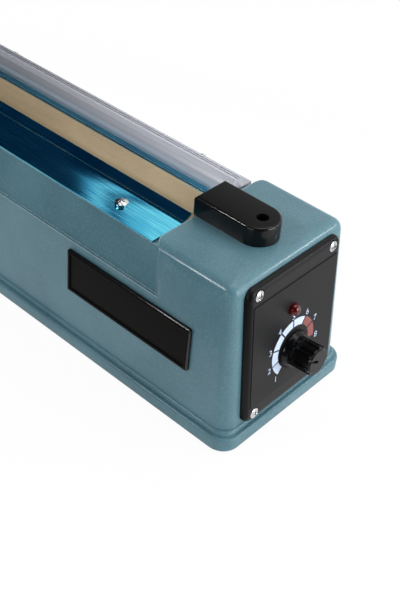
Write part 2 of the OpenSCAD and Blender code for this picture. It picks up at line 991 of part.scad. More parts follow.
module transformer_coil() {
    outer_x = core_size[0]/4 + core_slot[0]/2 - fit;
    inner_x = core_size[0]/4 - core_slot[0]/2 + fit;
    inner_y = core_size[1]/2 + fit;
    color("#b9893f")
        translate([core_x, 0, plate_top_z + core_limb + fit])
            linear_extrude(core_slot[1] - 2*fit)
                difference() {
                    square([2*outer_x, 2*(inner_y + coil_over)], center = true);
                    square([2*inner_x, 2*inner_y], center = true);
                }
}

module transformer_screws() {
    color("silver")
        each_tab_screw()
            translate([0, 0, skin_gap])
                pan_screw(tab_screw_d, tab_t + plate_t);
}

// Cord inlet

module cord_gland() {
    color("#171718")
        on_far_face()
            translate([0, gland_v, 0])
                difference() {
                    union() {
                        translate([0, 0, skin_gap])
                            cylinder(h = gland_head_h, d1 = gland_head_d, d2 = gland_head_d - 3);
                        translate([0, 0, -wall - gland_nut_h - 2])
                            cylinder(h = wall + gland_nut_h + 3, d = gland_d);
                    }
                    translate([0, 0, -30])
                        cylinder(h = 60, d = gland_bore);
                }
}

module gland_nut() {
    color("#2a2a2b")
        on_far_face()
            translate([0, gland_v, -wall/cos(end_draft) - gland_nut_h - 0.6])
                difference() {
                    cylinder(h = gland_nut_h, d = gland_d + 6, $fn = 6);
                    translate([0, 0, -1])
                        cylinder(h = gland_nut_h + 2, d = gland_d + 2*fit);
                }
}

module nameplate() {
    plate_l = 71;
    plate_h = 21.5;
    plate_v = 31;
    plate_t = 1.6;
    plate_r = 1.1;
    plate_edge = 0.9;
    plate_pocket = 0.5;
    border = 1.8;
    color("#1d1a19")
        on_front_face()
            translate([near_x - 10, plate_v, skin_gap])
                difference() {
                    soft_slab(plate_l, plate_h, plate_r, plate_t, plate_edge);
                    translate([0, 0, plate_t - plate_pocket])
                        linear_extrude(1)
                            rounded_rect(plate_l - 2*border, plate_h - 2*border, plate_r/2);
                }
}

// Heated rail

module heating_rail() {
    half_base = rail_base_w/2;
    half_top = rail_top_w/2;
    color("#c3c7c9")
        difference() {
            along_x(far_x + skin_gap, near_x - skin_gap)
                polygon([[-half_base, saddle_z], [half_base, saddle_z], [half_base, saddle_z + rail_foot],
                    [half_top, rail_z], [-half_top, rail_z], [-half_base, saddle_z + rail_foot]]);
            each_strip_screw() {
                translate([0, 0, saddle_z - 1])
                    cylinder(h = rail_h + 2, d = strip_screw_d + 2*screw_gap);
                translate([0, 0, rail_z - strip_screw_d*head_h_ratio - 0.3])
                    cylinder(h = rail_h, d = strip_screw_d*head_d_ratio + 2*screw_gap);
            }
        }
}

module rail_screws() {
    color("silver")
        each_strip_screw()
            translate([0, 0, rail_z - strip_screw_d*head_h_ratio - 0.2])
                pan_screw(strip_screw_d, rail_h + wall);
}

module insulating_tape() {
    color("#cdbb92")
        translate([far_x + skin_gap, -tape_w/2, tape_z])
            cube([rail_l - 2*skin_gap, tape_w, tape_t]);
}

module heating_ribbon() {
    eye_d = post_d + 4;
    color("#9a9a94")
        difference() {
            union() {
                translate([far_x - post_x, -ribbon_w/2, ribbon_z])
                    cube([rail_l + 2*post_x, ribbon_w, ribbon_t]);
                each_terminal()
                    translate([post_x, 0, ribbon_z])
                        cylinder(h = ribbon_t, d = eye_d);
            }
            each_terminal()
                translate([post_x, 0, ribbon_z - 1])
                    cylinder(h = 2, d = post_d + 2*fit);
        }
}

// Cloth from under one clamp strip, up the shoulder and over the rail
module cloth_profile() {
    low = saddle_z + cloth_d;
    high = cloth_top_z + cloth_t/2;
    bend = bend_y(cloth_d);
    crest = shoulder_y(cloth_d, high);
    ribbon_path([[-cloth_edge, low], [-bend, low], [-crest, high], [crest, high], [bend, low],
        [cloth_edge, low]], cloth_t);
}

module release_cloth() {
    color("#b09a74")
        along_x(far_x + 0.5, near_x - 0.5)
            cloth_profile();
}

// Clamp strip from the outer edge of the saddle in and up to the rail's shoulder
module strip_profile() {
    low = saddle_z + strip_d;
    high = saddle_z + strip_rise;
    bend = -bend_y(strip_d) - strip_bend*tan(shoulder/2);
    curve = [for (a = [0 : shoulder/4 : shoulder + eps])
        [bend + strip_bend*sin(a), low + strip_bend*(1 - cos(a))]];
    ribbon_path(concat([[-strip_outer, low]], curve,
        [[-shoulder_y(strip_d, high), high]]), strip_t);
}

module strip_holes(y) {
    each_strip_screw()
        translate([0, y, saddle_z])
            cylinder(h = 10, d = strip_screw_d + 2*screw_gap);
}

module front_strip() {
    color("#2a9cc4")
        difference() {
            along_x(far_x + strip_gap, near_x - strip_gap)
                strip_profile();
            strip_holes(-strip_screw_y);
        }
}

module rear_strip() {
    color("#2a9cc4")
        difference() {
            along_x(far_x + strip_gap, near_x - strip_gap)
                mirror([1, 0])
                    strip_profile();
            strip_holes(guard_screw_y);
        }
}

module strip_screws() {
    color("silver")
        each_strip_screw()
            translate([0, -strip_screw_y, strip_top_z + skin_gap])
                pan_screw(strip_screw_d, wall + strip_t);
}

// Foot, crowned front and grooved top of the guard
module guard_profile() {
    low = strip_top_z + skin_gap;
    top = saddle_z + guard_h;
    edge = saddle_w/2 - 0.5;
    back = guard_y + guard_t;
    lean = guard_y - guard_toe;
    front = [for (t = [1 : -0.1 : 0])
        [guard_toe + lean*t - guard_crown*sin(180*t), low + (top - guard_drop - low)*t]];
    difference() {
        polygon(concat([[back, top], [guard_y + guard_slope, top]], front,
            [[edge, low], [edge, low + guard_foot_t], [back, low + guard_foot_t]]));
        for (i = [1 : guard_lines])
            translate([guard_y + guard_slope + (guard_t - guard_slope)*i/(guard_lines + 1), top])
                square(2*guard_groove, center = true);
    }
}

module rear_guard() {
    color([0.8, 0.82, 0.85, 0.6])
        difference() {
            along_x(far_x + guard_gap, near_x - guard_gap)
                guard_profile();
            strip_holes(guard_screw_y);
        }
}

module guard_screws() {
    color("silver")
        each_strip_screw()
            translate([0, guard_screw_y, strip_top_z + guard_foot_t + 2*skin_gap])
                pan_screw(strip_screw_d, wall + strip_t + guard_foot_t);
}

// Terminals

module terminal_base() {
    color("#3b2a20")
        difference() {
            translate([fit, -terminal_w/2 + fit, saddle_z + fit])
                cube([terminal_l - 2*fit, terminal_w - 2*fit, ribbon_z - saddle_z - skin_gap - fit]);
            translate([post_x, 0, 0])
                cylinder(h = 2*block_z, d = post_d + 2*fit);
        }
}

module near_terminal_base() {
    translate([near_x, 0, 0])
        terminal_base();
}

module far_terminal_base() {
    translate([far_x, 0, 0])
        mirror([1, 0, 0])
            terminal_base();
}

module terminal_posts() {
    nut_z = ribbon_z + ribbon_t + skin_gap;
    color("#c8a24a")
        each_terminal()
            translate([post_x, 0, 0]) {
                translate([0, 0, saddle_z - wall - 5])
                    cylinder(h = nut_z + 4 - saddle_z + wall + 5, d = post_d);
                translate([0, 0, nut_z])
                    cylinder(h = 3, d = post_d*1.9, $fn = 6);
            }
}

module cover_outline(inset) {
    translate([inset - cover_over, inset - cover_w/2])
        square([cover_round_x + cover_over - inset, cover_w - 2*inset]);
    translate([cover_round_x, 0])
        circle(cover_w/2 - inset);
}

module cover_shell() {
    color("#161617")
        difference() {
            translate([0, 0, block_z + skin_gap]) {
                difference() {
                    hull() {
                        linear_extrude(cover_h - skin_gap - cover_edge)
                            cover_outline(0);
                        for (a = edge_angles)
                            translate([0, 0, cover_h - skin_gap - cover_edge*(1 - sin(a)) - eps])
                                linear_extrude(eps)
                                    cover_outline(cover_edge*(1 - cos(a)));
                    }
                    translate([-cover_over - 1, -terminal_w/2 - screw_gap, -1])
                        cube([terminal_l + cover_over + 1.5, terminal_w + 2*screw_gap,
                            cover_h - cover_wall + 1]);
                }
            }
            children();
        }
}

module near_terminal_cover() {
    translate([near_x, 0, 0])
        cover_shell()
            translate([switch_x - near_x, 0, block_z - 1])
                cylinder(h = cover_h + 2, d = switch_hole_d);
}

module far_terminal_cover() {
    translate([far_x, 0, 0])
        mirror([1, 0, 0])
            cover_shell();
}

// Hinge

module hinge_bracket() {
    base_half = cheek_y + bracket_t;
    cheek_r = bracket_l/2 - 2;
    color("#9aa0a3")
        difference() {
            union() {
                translate([hinge_x - bracket_l/2, -base_half, block_z])
                    cube([bracket_l, 2*base_half, bracket_t]);
                for (sy = [-1, 1])
                    translate([hinge_x, sy*(cheek_y + bracket_t/2) + bracket_t/2, 0])
                        rotate([90, 0, 0])
                            linear_extrude(bracket_t) {
                                translate([0, hinge_z])
                                    circle(cheek_r);
                                translate([-cheek_r, block_z])
                                    square([2*cheek_r, hinge_z - block_z]);
                            }
            }
            translate([hinge_x, base_half + 1, hinge_z])
                rotate([90, 0, 0])
                    cylinder(h = 2*base_half + 2, d = pin_d + 2*fit);
            each_bracket_screw()
                translate([0, 0, -10])
                    cylinder(h = 20, d = strip_screw_d + 2*screw_gap);
        }
}

module bracket_screws() {
    color("silver")
        each_bracket_screw()
            translate([0, 0, skin_gap])
                pan_screw(strip_screw_d, bracket_t + wall + 4);
}

module hinge_pin() {
    groove_y = cheek_y + bracket_t + skin_gap;
    color("#b4b8ba")
        translate([hinge_x, 0, hinge_z])
            rotate([90, 0, 0])
                difference() {
                    cylinder(h = 2*pin_half, d = pin_d, center = true);
                    for (sy = [0, 1])
                        mirror([0, 0, sy])
                            translate([0, 0, groove_y])
                                difference() {
                                    cylinder(h = clip_t + skin_gap, d = pin_d + 1);
                                    translate([0, 0, -1])
                                        cylinder(h = clip_t + 3, d = pin_d - 1.2);
                                }
                }
}

module hinge_washers() {
    color("#e6e2d6")
        for (sy = [-1, 1])
            translate([hinge_x, sy*(arm_w/2 + skin_gap + washer_t/2), hinge_z])
                rotate([90, 0, 0])
                    difference() {
                        cylinder(h = washer_t, d = pin_d + 6, center = true);
                        cylinder(h = washer_t + 2, d = pin_d + 2*running_fit, center = true);
                    }
}

module pin_clips() {
    groove_y = cheek_y + bracket_t + skin_gap;
    color("#4a4c4e")
        for (sy = [-1, 1])
            translate([hinge_x, sy*(groove_y + clip_t/2 + skin_gap/2), hinge_z])
                rotate([90, 0, 0])
                    difference() {
                        cylinder(h = clip_t, d = pin_d + 5, center = true);
                        cylinder(h = 4, d = pin_d - 1.2 + 2*fit, center = true);
                        translate([-1.6, 0, -2])
                            cube([3.2, pin_d + 5, 4]);
                    }
}

// Return spring: curls round the hinge pin, one straight end on the bracket and one under the arm
spring_rings = 8;
spring_sides = 6;
leg_tilt = 20;
leg_gap = 0.2;
spring_r = spring_d/2;
spring_width = spring_curls*spring_pitch;
spring_start = leg_tilt - 180;
spring_turn = 360*spring_curls + 90 - arm_raise;
spring_steps = ceil(spring_turn/360*spring_rings);
low_leg = (hinge_z - block_z - bracket_t - skin_gap - (spring_r + wire_d/2)*sin(leg_tilt))/cos(leg_tilt);
arm_roof = arm_low_z + arm_h - arm_t - hinge_z;
high_leg = (arm_roof - leg_gap - (spring_r + wire_d/2)*cos(leg_tilt))/sin(leg_tilt);

function spring_angle(i) = spring_start - spring_turn*i/spring_steps;
function spring_radial(i) = let (a = spring_angle(i)) [cos(a), 0, sin(a)];
function spring_tangent(i) = let (a = spring_angle(i)) [sin(a), 0, -cos(a)];
function spring_point(i) = spring_radial(i)*spring_r + [0, spring_width*(i/spring_steps - 0.5), 0];

spring_path = concat(
    [for (k = [2, 1]) spring_point(0) - spring_tangent(0)*low_leg*k/2],
    [for (i = [0 : spring_steps]) spring_point(i)],
    [for (k = [1, 2]) spring_point(spring_steps) + spring_tangent(spring_steps)*high_leg*k/2]);
spring_out = concat(
    [for (k = [0, 1]) spring_radial(0)],
    [for (i = [0 : spring_steps]) spring_radial(i)],
    [for (k = [0, 1]) spring_radial(spring_steps)]);
spring_apart = spring_rings - 2;
spring_last = len(spring_path) - 1;
spring_self_gap = min([for (i = [0 : spring_last - spring_apart], j = [i + spring_apart : spring_last])
    norm(spring_path[i] - spring_path[j])]) - wire_d;

function ring_points(p, out, side) = [for (k = [0 : spring_sides - 1])
    p + (out*cos(360*k/spring_sides) + side*sin(360*k/spring_sides))*wire_d/2];

module return_spring() {
    n = len(spring_path);
    points = [for (i = [0 : n - 1]) each ring_points(spring_path[i], spring_out[i], [0, 1, 0])];
    function at(i, k) = i*spring_sides + k % spring_sides;
    tube = [for (i = [0 : n - 2], k = [0 : spring_sides - 1]) each [
        [at(i, k), at(i + 1, k), at(i + 1, k + 1)], [at(i, k), at(i + 1, k + 1), at(i, k + 1)]]];
    caps = [for (k = [1 : spring_sides - 2]) each [
        [at(0, 0), at(0, k), at(0, k + 1)], [at(n - 1, 0), at(n - 1, k + 1), at(n - 1, k)]]];
    color("#7c8084")
        translate([hinge_x, 0, hinge_z])
            polyhedron(points, concat(tube, caps));
}

echo(spring_self_gap = spring_self_gap);

// Press arm

module press_arm() {
    tail = hinge_x - arm_tail;
    color("#5f8592")
        on_arm()
            difference() {
                translate([tail, -arm_w/2, arm_low_z])
                    cube([arm_front - tail, arm_w, arm_h]);
                translate([tail - 1, -arm_w/2 + arm_t, arm_low_z - 1])
                    cube([arm_front - tail + 2, arm_w - 2*arm_t, arm_h - arm_t + 1]);
                translate([hinge_x, arm_w, hinge_z])
                    rotate([90, 0, 0])
                        cylinder(h = 2*arm_w, d = pin_d + 2*running_fit);
                each_bar_screw()
                    translate([0, 0, -arm_h])
                        cylinder(h = 2*arm_h, d = strip_screw_d + 2*screw_gap);
                each_grip_screw()
                    translate([0, 0, -grip_h])
                        cylinder(h = grip_h, d = strip_screw_d + 2*fit);
            }
}

module press_bar() {
    inner_top = arm_low_z + arm_h - arm_t;
    color("#d2d6d8")
        on_arm()
            difference() {
                translate([far_x + bar_gap, -bar_w/2, bar_low_z])
                    cube([rail_l - 2*bar_gap, bar_w, inner_top - bar_low_z - skin_gap]);
                each_bar_screw()
                    translate([0, 0, -arm_h])
                        cylinder(h = 2*arm_h, d = strip_screw_d + 2*fit);
            }
}

module bar_screws() {
    color("silver")
        on_arm()
            each_bar_screw()
                translate([0, 0, skin_gap])
                    pan_screw(strip_screw_d, arm_t + 10);
}

module silicone_pad() {
    color("#c2563a")
        on_arm()
            translate([far_x + bar_gap, -bar_w/2, pad_low_z])
                cube([rail_l - 2*bar_gap, bar_w, pad_t - skin_gap]);
}

module arm_grip() {
    edge_r = 6;
    nose_l = 18;
    top_z = arm_low_z + grip_h - edge_r;
    color("#18181a")
        on_arm()
            difference() {
                hull() {
                    for (sy = [-1, 1], z = [arm_low_z + edge_r, top_z])
                        translate([grip_back + edge_r, sy*(grip_w/2 - edge_r), z])
                            sphere(edge_r, $fn = 32);
                    for (sy = [-1, 1])
                        translate([grip_back + grip_l - edge_r, sy*(grip_w/2 - edge_r), arm_low_z + edge_r])
                            sphere(edge_r, $fn = 32);
                    for (sy = [-1, 1])
                        translate([grip_back + grip_l - nose_l, sy*(grip_w/2 - edge_r), top_z])
                            sphere(edge_r, $fn = 32);
                }
                translate([grip_back - 1, -arm_w/2 - fit, arm_low_z - 1])
                    cube([arm_front - grip_back + 1 + fit, arm_w + 2*fit, arm_h + 1 + fit]);
                each_grip_screw() {
                    translate([0, 0, -grip_h])
                        cylinder(h = 2*grip_h, d = strip_screw_d + 2*screw_gap);
                    translate([0, 0, -grip_sink])
                        cylinder(h = 10, d = strip_screw_d*head_d_ratio + 2*screw_gap);
                }
                translate([switch_x, 0, arm_low_z - 1])
                    cylinder(h = pin_bore + 1, d = switch_pin_d + 2*fit);
            }
}

module grip_screws() {
    color("silver")
        on_arm()
            each_grip_screw()
                translate([0, 0, skin_gap - grip_sink])
                    pan_screw(strip_screw_d, grip_h - grip_sink - arm_h + arm_t);
}

module switch_pin() {
    color("#242426")
        on_arm()
            translate([switch_x, 0, switch_pin_low])
                cylinder(h = arm_low_z + pin_bore - fit - switch_pin_low, d = switch_pin_d);
}

placed() body_casting();
placed() base_plate();
placed() rubber_feet();
placed() foot_screws();
placed() control_panel();
placed() dial_overlay();
placed() panel_screws();
placed() indicator_lens();
placed() indicator_leads();
placed() timer_knob();
placed() pot_shaft();
placed() pot_case();
placed() pot_nut();
placed() timer_board();
placed() board_components();
placed() board_standoffs();
placed() microswitch();
placed() switch_screws();
placed() switch_plunger();
placed() transformer_core();
placed() transformer_coil();
placed() transformer_screws();
placed() cord_gland();
placed() gland_nut();
placed() nameplate();
placed() heating_rail();
placed() rail_screws();
placed() insulating_tape();
placed() heating_ribbon();
placed() release_cloth();
placed() front_strip();
placed() rear_strip();
placed() strip_screws();
placed() rear_guard();
placed() guard_screws();
placed() near_terminal_base();
placed() far_terminal_base();
placed() terminal_posts();
placed() near_terminal_cover();
placed() far_terminal_cover();
placed() hinge_bracket();
placed() bracket_screws();
placed() hinge_pin();
placed() hinge_washers();
placed() pin_clips();
placed() return_spring();
placed() press_arm();
placed() press_bar();
placed() bar_screws();
placed() silicone_pad();
placed() arm_grip();
placed() grip_screws();
placed() switch_pin();
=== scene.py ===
# %% [markdown]
# # A hand bag sealer
# The solids of the sealer come from its engineering model. This lesson dresses them: it lights a small
# studio, writes a finish for each kind of surface, and makes the pieces that solids show badly, which are
# the cloth over the heated rail, the wire spring in the hinge and the print on the dial. The model is
# loaded first.

# %% The frame
import json

import bpy
import numpy as np
from mathutils import Matrix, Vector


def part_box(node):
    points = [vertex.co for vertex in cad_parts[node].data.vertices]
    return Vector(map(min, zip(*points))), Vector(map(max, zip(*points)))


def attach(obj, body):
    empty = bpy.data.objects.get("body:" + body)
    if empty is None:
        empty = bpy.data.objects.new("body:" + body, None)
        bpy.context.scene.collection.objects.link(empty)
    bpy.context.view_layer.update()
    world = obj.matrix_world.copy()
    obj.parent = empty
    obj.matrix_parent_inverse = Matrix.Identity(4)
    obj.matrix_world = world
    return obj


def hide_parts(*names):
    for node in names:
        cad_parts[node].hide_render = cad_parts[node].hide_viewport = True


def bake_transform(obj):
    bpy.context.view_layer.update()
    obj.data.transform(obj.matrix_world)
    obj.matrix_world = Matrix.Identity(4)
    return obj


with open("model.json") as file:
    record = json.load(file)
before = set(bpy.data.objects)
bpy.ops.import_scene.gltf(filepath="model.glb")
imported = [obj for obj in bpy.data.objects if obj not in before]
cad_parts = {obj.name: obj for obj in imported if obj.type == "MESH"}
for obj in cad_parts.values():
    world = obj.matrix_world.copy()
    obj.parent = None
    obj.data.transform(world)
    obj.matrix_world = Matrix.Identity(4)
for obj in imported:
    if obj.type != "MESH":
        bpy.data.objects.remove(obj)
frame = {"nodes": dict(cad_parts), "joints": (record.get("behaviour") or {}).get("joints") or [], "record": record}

MM = 0.001
nodes = frame["nodes"]
subparts = frame["record"]["subparts"]
joints = {joint["name"]: joint for joint in frame["joints"]}
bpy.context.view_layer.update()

# %% [markdown]
# ## The camera
# The photograph was taken close up, from above the panel's end, with the camera tipped a little to one
# side. A camera could be turned until it looks right, but the edges of the body give its place exactly:
# where parallel edges meet tells the lens, and the sizes of the body tell the distance. The three angles
# then build the camera's own axes, which are the columns of its matrix.

# %% Camera
PHOTO_LONG_SIDE = 600
FOCAL_PIXELS = 1011
SENSOR = 36.0
NEAREST = 0.01
CAMERA_AT = np.array([372.513, -256.81, 310.73])*MM
AZIMUTH, ELEVATION, ROLL = np.radians([40.03, 39.93, 4.44])


def camera_axes(azimuth, elevation, roll):
    """Right, up and backward axes: look along azimuth and elevation, then turn by roll about the view."""
    right = np.array([np.cos(azimuth), np.sin(azimuth), 0])
    level_back = np.array([np.sin(azimuth), -np.cos(azimuth), 0])
    back = np.cos(elevation)*level_back + np.sin(elevation)*np.array([0, 0, 1.0])
    up = np.cross(back, right)
    return (np.cos(roll)*right + np.sin(roll)*up, np.cos(roll)*up - np.sin(roll)*right, back)


lens = bpy.data.cameras.new("photo_camera")
lens.sensor_width = SENSOR
lens.lens = SENSOR*FOCAL_PIXELS/PHOTO_LONG_SIDE
lens.clip_start = NEAREST
camera = bpy.data.objects.new("photo_camera", lens)
bpy.context.scene.collection.objects.link(camera)
stand = np.eye(4)
stand[:3, :3] = np.column_stack(camera_axes(AZIMUTH, ELEVATION, ROLL))
stand[:3, 3] = CAMERA_AT
camera.matrix_world = Matrix(stand.tolist())
bpy.context.scene.camera = camera
print("lens of", round(lens.lens, 1), "mm")

# %% [markdown]
# ## Nodes as arithmetic
# Finishes are graphs of small nodes. Wiring them by hand in a script is long and hard to read, so two
# small classes do it. A Wire is one socket, and adding, subtracting or multiplying wires adds a Math
# node. A Bench is a tree of nodes with one method that adds any node: its kind, its settings, then its
# sockets.

# %% Wires and benches
class Wire:
    """One socket of a node tree. Arithmetic on it adds a Math node, and numbers may stand on either side."""

    def __init__(self, bench, socket):
        self.bench = bench
        self.socket = socket

    def maths(self, operation, first, second):
        return self.bench.add("ShaderNodeMath", {"operation": operation}, {0: first, 1: second})

    def __add__(self, other):
        return self.maths("ADD", self, other)

    def __radd__(self, other):
        return self.maths("ADD", other, self)

    def __sub__(self, other):
        return self.maths("SUBTRACT", self, other)

    def __rsub__(self, other):
        return self.maths("SUBTRACT", other, self)

    def __mul__(self, other):
        return self.maths("MULTIPLY", self, other)

    def __rmul__(self, other):
        return self.maths("MULTIPLY", other, self)

    def larger(self, other):
        return self.maths("MAXIMUM", self, other)


class Bench:
    """A node tree and one method that adds any node to it: kind, settings, then values or wires by socket."""

    def __init__(self, tree):
        self.tree = tree
        tree.nodes.clear()

    def add(self, kind, settings=None, sockets=None, output=0):
        node = self.tree.nodes.new(kind)
        for name, value in (settings or {}).items():
            setattr(node, name, value)
        for name, value in (sockets or {}).items():
            if isinstance(value, Wire):
                self.tree.links.new(value.socket, node.inputs[name])
            else:
                node.inputs[name].default_value = value
        return Wire(self, node.outputs[output]) if node.outputs else node

    def step(self, value, low, high):
        """0 below low, 1 above high, and a smooth rise between them."""
        return self.add("ShaderNodeMapRange", {"interpolation_type": "SMOOTHSTEP"},
                        {"Value": value, "From Min": low, "From Max": high})

    def mix(self, share, first, second):
        """Colour that goes from first to second as share goes from 0 to 1."""
        return self.add("ShaderNodeMix", {"data_type": "RGBA"}, {0: share, 6: first, 7: second}, output=2)

    def dot(self, first, second):
        """How far one direction points along another: 1 along it, 0 at right angles to it."""
        return self.add("ShaderNodeVectorMath", {"operation": "DOT_PRODUCT"}, {0: first, 1: second}, output=1)

    def part(self, vector, axis):
        """The X, Y or Z part of a vector."""
        return self.add("ShaderNodeSeparateXYZ", sockets={"Vector": vector}, output=axis)


def colour(red, green, blue):
    """A colour as a screen shows it, 0 to 255, turned into the linear light that shaders count in."""
    screen = np.array([red, green, blue])/255
    linear = np.where(screen <= 0.04045, screen/12.92, ((screen + 0.055)/1.055)**2.4)
    return (*linear.tolist(), 1.0)


print("middle grey in linear light:", round(colour(128, 128, 128)[0], 3))

# %% [markdown]
# ## The studio
# The photograph's background is white, and the reflections say more: the flat of the blue strip shines
# while its slope is nearly black, so it was white behind the sealer and dark in front. The world repeats
# this: rays that leave towards the rear meet a white wall, and rays that leave towards the front meet a
# dim, bluish room. A narrow dark post in the wall breaks up the reflection in the strip. Rays from the
# camera itself, or through something clear, always meet white, and so do mirrored rays towards the wall.
# A picture of a room could do this too, but a few numbers are easier to tune against the photograph.

# %% World
WHITE = (1.0, 1.0, 1.0, 1.0)
ROOM_LEVEL, WALL_LEVEL = 0.05, 0.95
ROOM_TINT = (0.12, 0.5, 1.0, 1.0)
WALL_EDGE = (0.662, 0.674)
POST_START, POST_END, POST_SHADE = (0.679, 0.684), (0.695, 0.701), 0.95

world = bpy.data.worlds.new("studio")
world.use_nodes = True
bpy.context.scene.world = world
sky = Bench(world.node_tree)
way = sky.add("ShaderNodeTexCoord", output="Generated")
level_way = sky.add("ShaderNodeVectorMath", {"operation": "MULTIPLY"}, {0: way, 1: (1, 1, 0)})
compass = sky.add("ShaderNodeVectorMath", {"operation": "NORMALIZE"}, {0: level_way})
rearward = sky.dot(compass, (0, 1, 0))
post = sky.step(rearward, *POST_START)*(1 - sky.step(rearward, *POST_END))
wall = sky.step(rearward, *WALL_EDGE)*(1 - POST_SHADE*post)
mirrored = sky.add("ShaderNodeLightPath", output="Is Glossy Ray")
through = sky.add("ShaderNodeLightPath", output="Is Transmission Ray")
seen = sky.add("ShaderNodeLightPath", output="Is Camera Ray").larger(through).larger(mirrored*wall)
room_light = ROOM_LEVEL + wall*(WALL_LEVEL - ROOM_LEVEL)
tint = sky.mix(seen.larger(wall), ROOM_TINT, WHITE)
glow = sky.add("ShaderNodeBackground", sockets={"Color": tint, "Strength": seen + (1 - seen)*room_light})
sky.add("ShaderNodeOutputWorld", sockets={"Surface": glow})
print("room at", ROOM_LEVEL, "and wall at", WALL_LEVEL)

# %% [markdown]
# The floor stands for the table. It is pale, and most of its white is its own glow, so that only a faint
# shadow is left. An endless white table would shine in the paint of the front, which is darker than that
# in the photograph, so for mirrored rays alone the table ends a little in front of the sealer.

# %% Floor
FLOOR_SIZE, FLOOR_GLOW = 6.0, 0.96
FLOOR_PAINT = (0.9, 0.9, 0.9, 1.0)
TABLE_FRONT = (-0.12, -0.085)
PAST_TABLE = (0.1, 0.1, 0.1, 1.0)


def mesh_object(name, points, faces, smooth=False):
    """Mesh object at the origin from an array of points and a list of faces, each a list of point numbers."""
    mesh = bpy.data.meshes.new(name)
    mesh.from_pydata(points.tolist(), [], faces)
    mesh.polygons.foreach_set("use_smooth", np.full(len(faces), smooth))
    mesh.update()
    obj = bpy.data.objects.new(name, mesh)
    bpy.context.scene.collection.objects.link(obj)
    return obj


corners = np.array([[-1, -1, 0], [1, -1, 0], [1, 1, 0], [-1, 1, 0]])*FLOOR_SIZE/2
floor = mesh_object("studio_floor", corners, [[0, 1, 2, 3]])
floor_finish = bpy.data.materials.new("pale_floor")
floor_finish.use_nodes = True
table = Bench(floor_finish.node_tree)
camera_ray = table.add("ShaderNodeLightPath", output="Is Camera Ray")
glossy_ray = table.add("ShaderNodeLightPath", output="Is Glossy Ray")
clear_ray = table.add("ShaderNodeLightPath", output="Is Transmission Ray")
spot = table.add("ShaderNodeTexCoord", output="Object")
on_table = table.step(table.part(spot, "Y"), *TABLE_FRONT)
shown = table.mix(on_table.larger(1 - glossy_ray), PAST_TABLE, WHITE)
matt = table.add("ShaderNodeBsdfDiffuse", sockets={"Color": FLOOR_PAINT})
white = table.add("ShaderNodeEmission", sockets={"Color": shown, "Strength": 1.0})
own_glow = (camera_ray + glossy_ray + clear_ray)*FLOOR_GLOW
floor_skin = table.add("ShaderNodeMixShader", sockets={0: own_glow, 1: matt, 2: white})
table.add("ShaderNodeOutputMaterial", sockets={"Surface": floor_skin})
floor.data.materials.append(floor_finish)
bpy.context.scene.view_settings.view_transform = "Standard"
print("floor of", FLOOR_SIZE, "m")

# %% [markdown]
# ## The lamps
# Soft boxes do the work. A wide one hangs above and lights the tops. One stands off the panel's end,
# because that end is the brightest side in the photograph, and a weaker one fills the front. Two are
# narrow and bright, because a narrow lamp is seen as a line in a rounded edge: the one in front and to
# the left draws the line along the front edge of the block, and the one behind the panel's end lights the
# edge above the panel.

# %% Lamps
SOFT_BOXES = {
    "top_box": {"at": (0.10, 0.20, 1.10), "aim": (0.05, 0.0, 0.05), "size": (0.9, 0.9), "watts": 5.6},
    "end_box": {"at": (1.05, 0.25, 0.35), "aim": (0.15, 0.0, 0.05), "size": (0.6, 0.6), "watts": 7.4},
    "front_box": {"at": (0.25, -1.20, 0.30), "aim": (0.10, 0.0, 0.05), "size": (0.6, 0.4), "watts": 2.9},
    "edge_box": {"at": (-0.42, -0.90, 0.88), "aim": (0.19, -0.03, 0.08), "size": (0.20, 0.05), "watts": 5.0},
    "rear_box": {"at": (0.89, 0.81, 0.59), "aim": (0.20, 0.0, 0.08), "size": (0.24, 0.05), "watts": 2.8},
}


def soft_box(name, at, aim, size, watts):
    """Rectangular lamp that faces its aim: its own -Z axis points along the line from at to aim."""
    light = bpy.data.lights.new(name, "AREA")
    light.shape = "RECTANGLE"
    light.size, light.size_y = size
    light.energy = watts
    lamp = bpy.data.objects.new(name, light)
    bpy.context.scene.collection.objects.link(lamp)
    back = np.array(at) - np.array(aim)
    back /= np.linalg.norm(back)
    right = np.cross((0, 0, 1), back)
    right /= np.linalg.norm(right)
    place = np.eye(4)
    place[:3, :3] = np.column_stack([right, np.cross(back, right), back])
    place[:3, 3] = at
    lamp.matrix_world = Matrix(place.tolist())


for box_name, box in SOFT_BOXES.items():
    soft_box(box_name, **box)
print("lamps:", list(SOFT_BOXES))

# %% [markdown]
# ## What all finishes share
# A Finish is a bench for one material. Its pattern is read from object coordinates, so it stays in place
# on the piece. Real edges are never knife sharp, and a thin line of light on them tells the eye so. The
# Bevel node bends the normal near an edge, which gives that line to the solids without touching their
# shape.

# %% Finishes
EDGE_SAMPLES = 4


